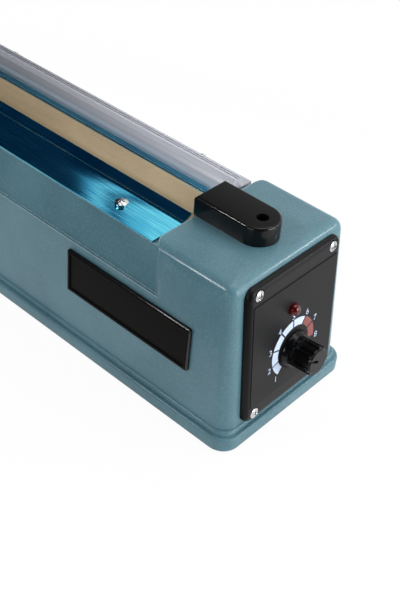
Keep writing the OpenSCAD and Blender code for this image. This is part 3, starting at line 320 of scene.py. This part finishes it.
class Finish(Bench):
    """Bench for one material, with the patterns that several finishes use."""

    def __init__(self, name):
        self.material = bpy.data.materials.new(name)
        self.material.use_nodes = True
        super().__init__(self.material.node_tree)
        self.place = self.add("ShaderNodeTexCoord", output="Object")

    def stretched(self, factors):
        """Place with each axis multiplied, so that a pattern grows long where the factor is small."""
        return self.add("ShaderNodeVectorMath", {"operation": "MULTIPLY"}, {0: self.place, 1: factors})

    def noise(self, grain, detail=2.0, place=None):
        """Smooth noise around 0.5 whose lumps are about grain metres across."""
        sockets = {"Vector": place or self.place, "Scale": 1/grain, "Detail": detail}
        return self.add("ShaderNodeTexNoise", sockets=sockets)

    def surface(self, base, roughness, height=None, depth=0.0, edge=0.0, **inputs):
        """Principled surface. height with depth gives relief, edge rounds the shading along edges, and any
        other input of the shader is given by its name."""
        sockets = {"Base Color": base, "Roughness": roughness}
        sockets.update({name.replace("_", " "): value for name, value in inputs.items()})
        relief = {"Distance": depth}
        if edge:
            relief["Normal"] = self.add("ShaderNodeBevel", {"samples": EDGE_SAMPLES}, {"Radius": edge})
        if height is not None:
            relief["Height"] = height
            sockets["Normal"] = self.add("ShaderNodeBump", sockets=relief)
        elif edge:
            sockets["Normal"] = relief["Normal"]
        skin = self.add("ShaderNodeBsdfPrincipled", sockets=sockets)
        self.add("ShaderNodeOutputMaterial", sockets={"Surface": skin})
        return self.material


def wearing(slot):
    """The solids that the record gives one finish to."""
    return [part["node"] for part in subparts if part["material_slot"] == slot]


finishes = {}
print("finishes that the record names:", len({part["material_slot"] for part in subparts}))

# %% [markdown]
# ## Hammered paint on the casting
# The body is a casting under a thick teal enamel, and the enamel dries with a fine orange-peel grain. An
# image of paint would repeat and would not follow the edges, so the grain is two noises of different
# size, and a third gives slow clouds in the colour. High on the body, around the saddle, a broken pale
# line is painted on the edges as a painted highlight: where the rounded normal departs from the true one,
# there is an edge. The enamel's gloss is a clear coat, which adds a line of light where an edge turns
# towards a lamp and leaves the flat faces their colour.

# %% Paint
PAINT_LIGHT, PAINT_DEEP = colour(88, 127, 138), colour(71, 110, 121)
PAINT_FLECK, PAINT_EDGE_HIGHLIGHT = colour(128, 160, 170), colour(190, 214, 222)
CLOUD, PEEL, GRAIN = 45*MM, 0.9*MM, 0.35*MM
HIGHLIGHT_REACH, HIGHLIGHT_SAMPLES = 1.1*MM, 8
HIGHLIGHT_ABOVE = (45*MM, 55*MM)


def hammered_paint(name):
    """Colour: slow clouds between deep and light paint, light flecks on the peel, and, high on the body, broken
    pale lines of painted highlight where the normal, rounded over a short reach, departs from the true one.
    Relief: peel with a finer grain."""
    finish = Finish(name)
    clouds = finish.noise(CLOUD, 3.0)
    peel = finish.noise(PEEL, 1.0)
    grain = finish.noise(GRAIN, 1.0)
    tone = finish.mix(finish.step(clouds, 0.3, 0.7), PAINT_DEEP, PAINT_LIGHT)
    fleck = finish.step(peel*0.5 + grain*0.5, 0.48, 0.62)
    normal = finish.add("ShaderNodeNewGeometry", output="Normal")
    rounded = finish.add("ShaderNodeBevel", {"samples": HIGHLIGHT_SAMPLES}, {"Radius": HIGHLIGHT_REACH})
    at_edge = finish.step(1 - finish.dot(normal, rounded), 0.02, 0.12)
    high_up = finish.step(finish.part(finish.place, "Z"), *HIGHLIGHT_ABOVE)
    # Painted highlight: pale broken lines coloured onto the edges high on the body.
    painted_edge_highlight = at_edge*high_up*finish.step(grain, 0.30, 0.55)
    base = finish.mix(painted_edge_highlight*0.7, finish.mix(fleck*0.18, tone, PAINT_FLECK), PAINT_EDGE_HIGHLIGHT)
    return finish.surface(base, 0.42 + 0.10*peel, height=peel + grain*0.4, depth=0.10*MM, edge=0.3*MM,
                          Specular_IOR_Level=0.2, Coat_Weight=0.4, Coat_Roughness=0.2)


finishes["casting_paint"] = hammered_paint("casting_paint")
print("paint on", wearing("casting_paint"))

# %% [markdown]
# ## Brushed and plated metal
# Sheet, screws, rail and ribbon are metals that differ in colour, polish and the direction of their
# brushing. Brushing is noise pulled out along one axis, so that its lines are much longer than wide, and
# they change the roughness and the relief a little. The transformer's core is a stack of sheets, so its
# noise is pressed flat instead. One function makes them all from a table, because they differ only in
# numbers.

# %% Metals
ALONG_X, STACKED, EVERY_WAY = (0.02, 1.0, 1.0), (1.0, 1.0, 30.0), (1.0, 1.0, 1.0)
METALS = {
    "zinc_sheet": {"tint": (190, 194, 196), "worn": (160, 166, 168), "roughness": 0.34, "line": 1.5*MM},
    "bright_screw": {"tint": (206, 207, 208), "worn": (180, 181, 182), "roughness": 0.20},
    "plated_steel": {"tint": (205, 207, 207), "worn": (172, 174, 172), "roughness": 0.26},
    "core_steel": {"tint": (128, 124, 120), "worn": (96, 90, 84), "roughness": 0.45, "brushing": STACKED},
    "rail_aluminium": {"tint": (220, 222, 224), "worn": (196, 198, 200), "roughness": 0.28,
                       "brushing": ALONG_X},
    "ribbon_alloy": {"tint": (190, 188, 180), "worn": (150, 140, 128), "roughness": 0.30,
                     "brushing": ALONG_X},
    "brass_post": {"tint": (214, 178, 102), "worn": (176, 136, 70), "roughness": 0.24},
    "spring_steel": {"tint": (150, 153, 156), "worn": (112, 112, 112), "roughness": 0.26},
}


def metal(name, tint, worn, roughness, brushing=EVERY_WAY, line=0.4*MM):
    """Metal with brushed lines of width line, darker and duller in patches where it is worn."""
    finish = Finish(name)
    lines = finish.noise(line, 2.0, finish.stretched(brushing))
    dull = finish.noise(9*MM, 3.0)
    base = finish.mix(finish.step(dull, 0.45, 0.75), colour(*tint), colour(*worn))
    rough = roughness + 0.16*(lines - 0.5) + 0.12*finish.step(dull, 0.5, 0.8)
    return finish.surface(base, rough, height=lines, depth=0.004*MM, edge=0.25*MM, Metallic=1.0)


for name, numbers in METALS.items():
    finishes[name] = metal(name, **numbers)
print("metals:", list(METALS))

# %% [markdown]
# ## Blue lacquered strips
# The two clamp strips are brushed aluminium under a clear blue lacquer. Light goes through the lacquer
# twice, so the reflection itself is blue: in a shader this is a metal with a blue colour, which is
# simpler than a clear layer over a metal. The brush lines run along the strip.

# %% Strips
LACQUER, LACQUER_DEEP = colour(122, 228, 246), colour(48, 164, 202)


def blue_lacquer(name):
    """Blue metal. Lines of 0.3 mm, drawn out along X, change its colour, roughness and relief, and slow
    patches are deeper where the lacquer is thick."""
    finish = Finish(name)
    lines = finish.noise(0.3*MM, 2.0, finish.stretched((0.012, 1.0, 1.0)))
    wiped = finish.noise(18*MM, 1.0, finish.stretched((0.8, 0.5, 0.5)))
    brushed = finish.mix(finish.step(lines, 0.3, 0.7), LACQUER_DEEP, LACQUER)
    base = finish.mix(finish.step(wiped, 0.45, 0.68)*0.7, brushed, LACQUER_DEEP)
    return finish.surface(base, 0.04 + 0.08*lines, height=lines, depth=0.004*MM, Metallic=1.0)


finishes["strip_blue"] = blue_lacquer("strip_blue")
print("lacquer on", wearing("strip_blue"))

# %% [markdown]
# ## Moulded plastics and rubber
# The knob, the lamp, the feet and most of the small parts inside are mouldings. Plastic is never one flat
# colour: the mould leaves a fine texture that scatters light, and flow marks are slow clouds in the tint.
# One recipe with other tints, grain and gloss gives them all, and the dial's film and the circuit board
# as well. The knob is polished, and the lamp lets light in.

# %% Plastics
MOULDINGS = {
    "overlay_print": {"tint": (30, 30, 31), "bloom": (34, 34, 35), "roughness": 0.45, "grain": 0.2*MM,
                      "edge": 0.1*MM, "Specular_IOR_Level": 0.12},
    "knob_gloss": {"tint": (9, 9, 9), "bloom": (13, 13, 13), "roughness": 0.13, "depth": 0.004*MM,
                   "edge": 0.25*MM, "Specular_IOR_Level": 0.22},
    "foot_rubber": {"tint": (34, 34, 34), "bloom": (48, 47, 46), "roughness": 0.75, "grain": 0.6*MM},
    "nylon": {"tint": (224, 220, 204), "bloom": (212, 204, 184), "roughness": 0.45},
    "switch_brown": {"tint": (58, 44, 36), "bloom": (72, 56, 46), "roughness": 0.40},
    "plunger_red": {"tint": (170, 58, 42), "bloom": (150, 48, 36), "roughness": 0.35},
    "board_green": {"tint": (34, 110, 58), "bloom": (26, 92, 50), "roughness": 0.35, "grain": 1.2*MM},
    "component_blue": {"tint": (40, 66, 112), "bloom": (30, 50, 92), "roughness": 0.30},
    "terminal_phenolic": {"tint": (66, 44, 34), "bloom": (84, 58, 44), "roughness": 0.45},
    "pad_silicone": {"tint": (176, 84, 60), "bloom": (160, 74, 54), "roughness": 0.60, "grain": 0.5*MM},
    "lamp_red": {"tint": (104, 13, 10), "bloom": (84, 9, 7), "roughness": 0.10, "depth": 0.002*MM,
                 "edge": 0.0, "Transmission_Weight": 0.35},
}


def moulding(name, tint, bloom, roughness, grain=0.3*MM, depth=0.012*MM, edge=0.4*MM, **inputs):
    """Plastic whose tint clouds towards bloom, with a mould texture of size grain."""
    finish = Finish(name)
    texture = finish.noise(grain, 2.0)
    flow = finish.noise(14*MM, 3.0)
    clouded = finish.step(flow, 0.35, 0.75)*0.7 + 0.3*finish.step(texture, 0.5, 0.8)
    base = finish.mix(clouded, colour(*tint), colour(*bloom))
    rough = roughness + 0.12*(texture - 0.5)
    return finish.surface(base, rough, height=texture, depth=depth, edge=edge, **inputs)


for name, numbers in MOULDINGS.items():
    finishes[name] = moulding(name, **numbers)
print("mouldings:", list(MOULDINGS))

# %% [markdown]
# The panel, the nameplate, the covers and the grip are black mouldings with a dull face and a rim that is
# painted darker, as painted shade for the dark room it mirrors. On the plate and the covers the rim is also
# polished, and catches the light. The rim could be picked out face by face, but the shader can find it: the
# face looks one way, and the rim is where the normal turns away from it. The piece's own normal is used, so
# that the rim stays in place when the piece swings.

# %% Rimmed plastics
RIMMED = {
    "panel_plastic": {"way": tuple(joints["timer_turn"]["axis"]), "face_tint": (29, 29, 31),
                      "rim_shade_tint": (9, 9, 10), "shine": 0.16},
    "plate_black": {"way": (0, -1, 0), "face_tint": (11, 9, 8), "rim_shade_tint": (9, 8, 8), "shine": 0.04,
                    "polish": 0.9},
    "black_plastic": {"way": (0, 0, 1), "face_tint": (12, 12, 12), "rim_shade_tint": (9, 9, 9), "shine": 0.08,
                      "polish": 0.5},
}
FACE_WITHIN = (0.90, 0.985)


def rimmed_plastic(name, way, face_tint, rim_shade_tint, shine, polish=0.0):
    """Moulding with one tint where its normal points along way, a darker tint on its rim as painted shade,
    and there, with polish, a coat as well."""
    finish = Finish(name)
    texture = finish.noise(0.3*MM, 2.0)
    normal = finish.add("ShaderNodeTexCoord", output="Normal")
    face = finish.step(finish.dot(normal, way), *FACE_WITHIN)
    # Painted shade: the rim is tinted darker than the face, for the dark room that it mirrors.
    base = finish.mix(face*(0.8 + 0.2*texture), colour(*rim_shade_tint), colour(*face_tint))
    coat = {"Coat_Weight": (1 - face)*polish, "Coat_Roughness": 0.12} if polish else {}
    return finish.surface(base, 0.40 + 0.1*(texture - 0.5), height=texture, depth=0.01*MM, edge=0.3*MM,
                          Specular_IOR_Level=shine, **coat)


for name, numbers in RIMMED.items():
    finishes[name] = rimmed_plastic(name, **numbers)
print("rimmed:", {name: wearing(name) for name in RIMMED})

# %% [markdown]
# ## Cloth, tape and milky guard
# Release cloth is woven glass coated with a slippery tan film, so a fine weave shows through a satin
# face. Two sine waves would be too regular: two noises, each pulled out along one axis, give threads of
# uneven width. The tape under it and the tape round the transformer's coil use the same weave in other
# tints. The guard is an extruded profile of milky plastic: some light goes through it, and the rest comes
# back as a lilac grey. Towards the middle of the rail the cloth is browner and the guard greyer.

# %% Cloth and milky plastic
WOVEN = {
    "cloth_tan": {"tint": (174, 155, 123), "shade": (122, 106, 80), "roughness": 0.42, "scorched": 0.55,
                  "edge": 2.0*MM, "Specular_IOR_Level": 0.3},
    "tape_tan": {"tint": (196, 180, 146), "shade": (176, 156, 120), "roughness": 0.60},
    "coil_tape": {"tint": (196, 150, 70), "shade": (170, 120, 50), "roughness": 0.45, "thread": 1.2*MM},
}
GUARD_CLEAN, GUARD_GREY = colour(212, 213, 222), colour(140, 141, 147)
MIDDLE_REACH = 0.15


def rail_middle(finish):
    """1 in the middle of the rail, falling smoothly to 0 at MIDDLE_REACH on either side."""
    x = finish.part(finish.place, "X")
    return 1 - finish.step(x.larger(0 - x), 0.0, MIDDLE_REACH)


def woven(name, tint, shade, roughness, thread=0.45*MM, scorched=0.0, **inputs):
    """Weave: two sets of threads, one along X and one across, over slow stains between tint and shade. A
    share given for the middle makes the cloth go towards shade in the middle of the rail."""
    finish = Finish(name)
    warp = finish.noise(thread, 1.0, finish.stretched((0.08, 1.0, 1.0)))
    weft = finish.noise(thread, 1.0, finish.stretched((1.0, 0.08, 0.08)))
    stains = finish.noise(16*MM, 4.0, finish.stretched((0.35, 1.0, 1.0)))
    weave = 0.5*warp + 0.5*weft
    worn = 0.65*finish.step(stains, 0.35, 0.75) + 0.35*finish.step(weave, 0.4, 0.6)
    # Darker towards the middle of the rail, by the share given for it.
    if scorched:
        worn = worn*(1 - scorched) + rail_middle(finish)*scorched
    base = finish.mix(worn, colour(*tint), colour(*shade))
    return finish.surface(base, roughness + 0.15*(weave - 0.5), height=weave, depth=0.02*MM, **inputs)


def milky_guard(name):
    """Milky extruded plastic with faint die lines along X, greyer in the middle of the rail."""
    finish = Finish(name)
    die = finish.noise(2.4*MM, 1.0, finish.stretched((0.004, 1.0, 1.0)))
    greyed = 0.35*finish.step(die, 0.35, 0.65) + 0.65*rail_middle(finish)
    base = finish.mix(greyed, GUARD_CLEAN, GUARD_GREY)
    return finish.surface(base, 0.18 + 0.14*die, height=die, depth=0.03*MM, edge=0.2*MM,
                          Transmission_Weight=0.15)


for name, numbers in WOVEN.items():
    finishes[name] = woven(name, **numbers)
finishes["guard_clear"] = milky_guard("guard_clear")
print("finishes:", len(finishes))

# %% [markdown]
# ## Dressing the solids
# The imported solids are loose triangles, each with its own normals. Joined at their seams, and smoothed
# wherever two faces meet at a small angle, they shade like the turned and moulded parts they are. A node
# group does it as a modifier, so the solid's own mesh stays as it was. The record says which finish each
# solid has. The knob shares its slot with the covers, but is glossier, so it gets a finish of its own.

# %% Smooth solids
SMOOTH_BELOW = np.radians(32)
SEAM = 0.001*MM
OWN_FINISH = {"timer_knob": "knob_gloss"}

smoothing = bpy.data.node_groups.new("join_and_smooth", "GeometryNodeTree")
smoothing.interface.new_socket("Geometry", in_out="INPUT", socket_type="NodeSocketGeometry")
smoothing.interface.new_socket("Geometry", in_out="OUTPUT", socket_type="NodeSocketGeometry")
seams = Bench(smoothing)
loose = seams.add("NodeGroupInput")
joined = seams.add("GeometryNodeMergeByDistance", sockets={"Geometry": loose, "Distance": SEAM})
fold = seams.add("GeometryNodeInputMeshEdgeAngle")
crease = seams.add("FunctionNodeCompare", {"operation": "GREATER_THAN"}, {0: fold, 1: SMOOTH_BELOW})
shaded = seams.add("GeometryNodeSetMeshNormal", {"mode": "SHARPNESS"},
                   {"Mesh": joined, "Remove Custom": True, "Edge Sharpness": crease})
seams.add("NodeGroupOutput", sockets={"Geometry": shaded})

for part in subparts:
    solid = nodes[part["node"]]
    solid.data.materials.clear()
    solid.data.materials.append(finishes[OWN_FINISH.get(part["node"], part["material_slot"])])
    solid.modifiers.new("join_and_smooth", "NODES").node_group = smoothing
print("dressed", len(subparts), "solids in", len(finishes), "finishes")

# %% [markdown]
# ## The release cloth
# The cloth is one sheet, pulled tight over the rail and held under the two strips. Its section is a path
# that runs out from under one strip, up the rail's shoulder, across the top and down again. A tight cloth
# keeps that section all along, so the sheet is the section carried along X, with a faint ripple on top
# where the heat has worked it. A cloth simulation would give the same, because nothing hangs.

# %% Cloth section
RAIL_BASE, RAIL_TOP, RAIL_FOOT = 22.0*MM, 12.6*MM, 0.4*MM
CLOTH_THICK, CLOTH_HELD = 0.25*MM, 6.0*MM
cloth_low, cloth_high = (np.array(corner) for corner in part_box("release_cloth"))
rail_low, rail_high = (np.array(corner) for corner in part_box("heating_rail"))

slope = np.arctan2(rail_high[2] - rail_low[2] - RAIL_FOOT, (RAIL_BASE - RAIL_TOP)/2)
low_z = cloth_low[2] + CLOTH_THICK/2
high_z = cloth_high[2] - CLOTH_THICK/2
side_y = cloth_high[1]
bend_y = side_y - CLOTH_HELD
crest_y = bend_y - (high_z - low_z)/np.tan(slope)
section = np.array([[-side_y, low_z], [-bend_y, low_z], [-crest_y, high_z],
                    [crest_y, high_z], [bend_y, low_z], [side_y, low_z]])
print("cloth section, mm:", np.round(section/MM, 2).tolist())

# %% [markdown]
# The section has sharp corners, and a cloth bends over them in a small curve. Its points are then spread
# evenly, so that the distance along the section is the flat width, which is the size the cloth was cut
# to.

# %% Bent section
CLOTH_BEND, BEND_STEPS = 0.8*MM, 6
CLOTH_ALONG, CLOTH_ACROSS = 180, 61


def rounded_path(points, radius, steps):
    """Path through points with each inner corner replaced by a curve: a parabola that starts and ends radius
    away from the corner and leaves along the two sides."""
    points = np.asarray(points, float)
    pieces = [points[:1]]
    t = np.linspace(0, 1, steps)[:, None]
    for before, corner, after in zip(points[:-2], points[1:-1], points[2:]):
        start = corner + (before - corner)/np.linalg.norm(before - corner)*radius
        end = corner + (after - corner)/np.linalg.norm(after - corner)*radius
        pieces.append((1 - t)**2*start + 2*t*(1 - t)*corner + t**2*end)
    pieces.append(points[-1:])
    return np.concatenate(pieces)


def path_length(path):
    """Sum of the distances from each point to the next."""
    return np.linalg.norm(np.diff(path, axis=0), axis=1).sum()


def spaced(path, count):
    """The same path with count points at even distances along it."""
    along = np.concatenate([[0], np.cumsum(np.linalg.norm(np.diff(path, axis=0), axis=1))])
    even = np.linspace(0, along[-1], count)
    return np.column_stack([np.interp(even, along, path[:, k]) for k in range(path.shape[1])])


cloth_path = spaced(rounded_path(section, CLOTH_BEND, BEND_STEPS), CLOTH_ACROSS)

# %% [markdown]
# The sheet is a grid: one parameter runs along the rail, the other along the section. It is made as the
# middle of the cloth, and a Solidify modifier gives it its thickness to both sides.

# %% Cloth
RIPPLE, RIPPLE_LONG, RIPPLE_SHORT, RIPPLE_SLANT = 0.05*MM, 7*MM, 2.9*MM, 1.5*MM


def quads_of(rows, columns, wrap=False):
    """Faces of a grid of rows by columns points, numbered row by row. wrap joins the last column to the
    first."""
    row, column = np.meshgrid(np.arange(rows - 1), np.arange(columns if wrap else columns - 1), indexing="ij")
    here = row*columns + column
    beside = row*columns + (column + 1) % columns
    return np.stack([here, here + columns, beside + columns, beside], axis=-1).reshape(-1, 4)


def stretched_cloth(name):
    """Point (u, v): u along X, v along the section. The top lifts by a ripple of two sine waves."""
    x = np.linspace(cloth_low[0], cloth_high[0], CLOTH_ALONG)
    u, v = np.meshgrid(x, np.arange(CLOTH_ACROSS), indexing="ij")
    y = cloth_path[v, 0]
    z = cloth_path[v, 1]
    top = np.clip((z - high_z)/RIPPLE + 1, 0, 1)*np.clip(1 - np.abs(y)/crest_y, 0, 1)
    waves = 0.5 + 0.25*np.sin(u/RIPPLE_LONG) + 0.25*np.sin(u/RIPPLE_SHORT + y/RIPPLE_SLANT)
    points = np.stack([u, y, z + RIPPLE*top*waves], axis=-1).reshape(-1, 3)
    return mesh_object(name, points, quads_of(CLOTH_ALONG, CLOTH_ACROSS).tolist(), smooth=True)


cloth = stretched_cloth("stretched_release_cloth")
cloth.data.materials.append(finishes["cloth_tan"])
thickness = cloth.modifiers.new("thickness", "SOLIDIFY")
thickness.thickness = CLOTH_THICK
thickness.offset = 0
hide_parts("release_cloth")
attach(cloth, "base")
print("cloth of", len(cloth.data.polygons), "faces")

# %% [markdown]
# ## The return spring
# A wire spring sits on the hinge pin between the arm's cheeks, with one leg on the bracket and one under
# the arm's roof. A screw modifier could wind the turns but not the legs, so the whole wire is one path: a
# leg, five turns and a leg.

# %% Spring path
WIRE, COIL_D, CURLS, COIL_WIDTH = 1.6*MM, 10.0*MM, 5, 12.0*MM
LEG_TILT, ARM_RAISE = np.radians([20.0, 22.0])
RINGS_PER_TURN, LEG_RINGS = 48, 6
BRACKET_SHEET, ARM_ROOF = 2.5*MM, 9.0*MM
LEG_CLEAR, FOOT_CLEAR = 0.2*MM, 0.05*MM
hinge = np.array(joints["arm_press"]["pos_m"])
bracket_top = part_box("hinge_bracket")[0][2] + BRACKET_SHEET


def spring_path():
    """Turns: a circle about the hinge, running backwards while it moves along the pin. Legs: straight on."""
    radius = COIL_D/2
    sweep = 2*np.pi*CURLS + np.pi/2 - ARM_RAISE
    share = np.linspace(0, 1, int(sweep/(2*np.pi)*RINGS_PER_TURN))
    angle = LEG_TILT - np.pi - sweep*share
    outward = np.stack([np.cos(angle), 0*angle, np.sin(angle)], axis=-1)
    onward = np.stack([np.sin(angle), 0*angle, -np.cos(angle)], axis=-1)
    coil = hinge + outward*radius + np.stack([0*share, COIL_WIDTH*(share - 0.5), 0*share], axis=-1)
    reach = radius + WIRE/2
    low_leg = (hinge[2] - bracket_top - FOOT_CLEAR - reach*np.sin(LEG_TILT))/np.cos(LEG_TILT)
    high_leg = (ARM_ROOF - LEG_CLEAR - reach*np.cos(LEG_TILT))/np.sin(LEG_TILT)
    steps = np.linspace(1, 0, LEG_RINGS, endpoint=False)[:, None]
    before = coil[0] - onward[0]*low_leg*steps
    after = coil[-1] + onward[-1]*high_leg*steps[::-1]
    first_out, last_out = (np.repeat(end, LEG_RINGS, 0) for end in (outward[:1], outward[-1:]))
    return np.concatenate([before, coil, after]), np.concatenate([first_out, outward, last_out])


wire_path, wire_outward = spring_path()
print("spring wire, mm:", round(path_length(wire_path)/MM))

# %% [markdown]
# The wire is a tube along that path. Each ring of the tube stands on the radial direction and the pin's
# direction, which never twist.

# %% Spring
WIRE_SIDES = 14
ALONG_PIN = np.array([0, 1.0, 0])


def wire_tube(name, path, outward, sideways, thickness, sides):
    """Tube: at each path point a ring of radius thickness/2 in the plane of outward and sideways, closed at
    both ends by a point in the middle."""
    turn = np.linspace(0, 2*np.pi, sides, endpoint=False)
    ring = np.cos(turn)[None, :, None]*outward[:, None] + np.sin(turn)[None, :, None]*sideways
    skin = (path[:, None] + ring*thickness/2).reshape(-1, 3)
    rows = len(path)
    side = np.arange(sides)
    following = (side + 1) % sides
    first, last = rows*sides, rows*sides + 1
    caps = np.concatenate([
        np.stack([np.full(sides, first), side, following], axis=-1),
        np.stack([np.full(sides, last), (rows - 1)*sides + following, (rows - 1)*sides + side], axis=-1)])
    faces = quads_of(rows, sides, wrap=True)[:, ::-1].tolist() + caps[:, ::-1].tolist()
    return mesh_object(name, np.concatenate([skin, path[:1], path[-1:]]), faces, smooth=True)


spring = wire_tube("wound_return_spring", wire_path, wire_outward, ALONG_PIN, WIRE, WIRE_SIDES)
spring.data.materials.append(finishes["spring_steel"])
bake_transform(spring)
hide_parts("return_spring")
print("spring of", len(spring.data.polygons), "faces")

# %% [markdown]
# ## Print on the dial
# The dial is screen printed: a ring of pale segments, two dull red ones at the hot end, and the numbers 1
# to 8. An image could carry the print, but print has a real thickness and sharp edges, so each segment is
# a patch of a ring just above the film. A point of a patch is given by its angle and its distance from
# the dial's middle. The panel leans back, so its own axes come from the knob's joint, and the film is
# printed a little high of the knob, as in the photograph.

# %% Dial axes
DIAL_RISE = 1.2*MM
axis = np.array(joints["timer_turn"]["axis"])
axis = axis/np.linalg.norm(axis)
across = np.array([0, 1.0, 0])
upward = np.cross(axis, across)


def mesh_points(mesh):
    """All points of a mesh as rows of x, y and z."""
    points = np.zeros(len(mesh.vertices)*3)
    mesh.vertices.foreach_get("co", points)
    return points.reshape(-1, 3)


film_face = (mesh_points(nodes["dial_overlay"].data) @ axis).max()
dial = np.array(joints["timer_turn"]["pos_m"])
dial = dial + axis*(film_face - dial @ axis) + upward*DIAL_RISE


def on_film(side, rise, lift):
    """Places points given across the panel, up it and off its film."""
    return dial + side[..., None]*across + rise[..., None]*upward + lift*axis


print("dial at", np.round(dial/MM, 1).tolist())

# %% [markdown]
# The marks between the segments are angles, counted from the panel's right. The ink is a finish like the
# others: a tint that wear breaks up a little.

# %% Dial ring
MARKS = np.array([228, 197, 162, 127, 93, 58, 27, -10])
HOT_MARK = 5
RING_IN, RING_OUT, RING_GAP = 9.6*MM, 13.2*MM, 0.7*MM
PATCH_TURNS, PATCH_RADII = 14, 4
INK, INK_BODY = 0.05*MM, 0.8


def dial_ink(name, tint, worn):
    """Ink: a flat tint that the film's grain breaks up a little."""
    finish = Finish(name)
    wear = finish.noise(0.8*MM, 3.0)
    return finish.surface(finish.mix(finish.step(wear, 0.55, 0.85), tint, worn), 0.45 + 0.1*wear)


def ring_patches(name, marks, ink):
    """Patch (angle, radius) between each two marks, with half a gap left free at both ends, as flat ink."""
    turn = np.linspace(0, 1, PATCH_TURNS)[:, None]
    radius = np.linspace(RING_IN, RING_OUT, PATCH_RADII)[None, :]
    gap = RING_GAP/2/radius
    points, faces = [], []
    for start, end in zip(marks[:-1], marks[1:]):
        first, last = np.radians(start) - gap, np.radians(end) + gap
        angle = first + (last - first)*turn
        faces.append(quads_of(PATCH_TURNS, PATCH_RADII) + sum(len(patch) for patch in points))
        points.append(on_film(radius*np.cos(angle), radius*np.sin(angle), INK).reshape(-1, 3))
    obj = mesh_object(name, np.concatenate(points), np.concatenate(faces).tolist())
    obj.data.materials.append(ink)
    skin = obj.modifiers.new("ink", "SOLIDIFY")
    skin.thickness = INK*INK_BODY
    skin.offset = -1
    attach(obj, "base")
    return obj


pale_ink = dial_ink("pale_ink", colour(205, 220, 244), colour(186, 200, 226))
red_ink = dial_ink("red_ink", colour(136, 72, 66), colour(118, 60, 56))
pale_ring = ring_patches("dial_ring_pale", MARKS[:HOT_MARK + 1], pale_ink)
red_ring = ring_patches("dial_ring_red", MARKS[HOT_MARK:], red_ink)
print("ring of", len(pale_ring.data.polygons), "pale and", len(red_ring.data.polygons), "red faces")

# %% [markdown]
# Numbers are easiest as text. Text is a curve, so each digit is made a mesh first, and its points are
# then placed on the panel's axes, upright, just outside its mark.

# %% Dial numbers
NUMBER_H, NUMBER_RING = 2.9*MM, 15.3*MM
NUMBER_THINNED = 0.04*MM
CAPITAL_SHARE = 0.7


def digit_mesh(text):
    """Points and faces of one digit, flat, centred on its own middle, NUMBER_H high."""
    curve = bpy.data.curves.new("digit", "FONT")
    curve.body = text
    curve.size = NUMBER_H/CAPITAL_SHARE
    curve.extrude = INK*INK_BODY/2
    curve.offset = -NUMBER_THINNED
    writing = bpy.data.objects.new("digit", curve)
    bpy.context.scene.collection.objects.link(writing)
    bpy.context.view_layer.update()
    mesh = bpy.data.meshes.new_from_object(writing.evaluated_get(bpy.context.evaluated_depsgraph_get()))
    points = mesh_points(mesh)
    faces = [list(face.vertices) for face in mesh.polygons]
    bpy.data.objects.remove(writing)
    bpy.data.curves.remove(curve)
    bpy.data.meshes.remove(mesh)
    return points - (points.min(0) + points.max(0))/2, faces


digit_points, digit_faces = [], []
for number, mark in enumerate(MARKS, start=1):
    points, faces = digit_mesh(str(number))
    first = sum(len(placed) for placed in digit_points)
    side = points[:, 0] + NUMBER_RING*np.cos(np.radians(mark))
    rise = points[:, 1] + NUMBER_RING*np.sin(np.radians(mark))
    digit_points.append(on_film(side, rise, INK) + points[:, 2:]*axis)
    digit_faces += [[first + corner for corner in face] for face in faces]
number_print = mesh_object("dial_numbers", np.concatenate(digit_points), digit_faces)
number_print.data.materials.append(pale_ink)
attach(number_print, "base")
print("numbers:", len(MARKS), "with", len(digit_faces), "faces")
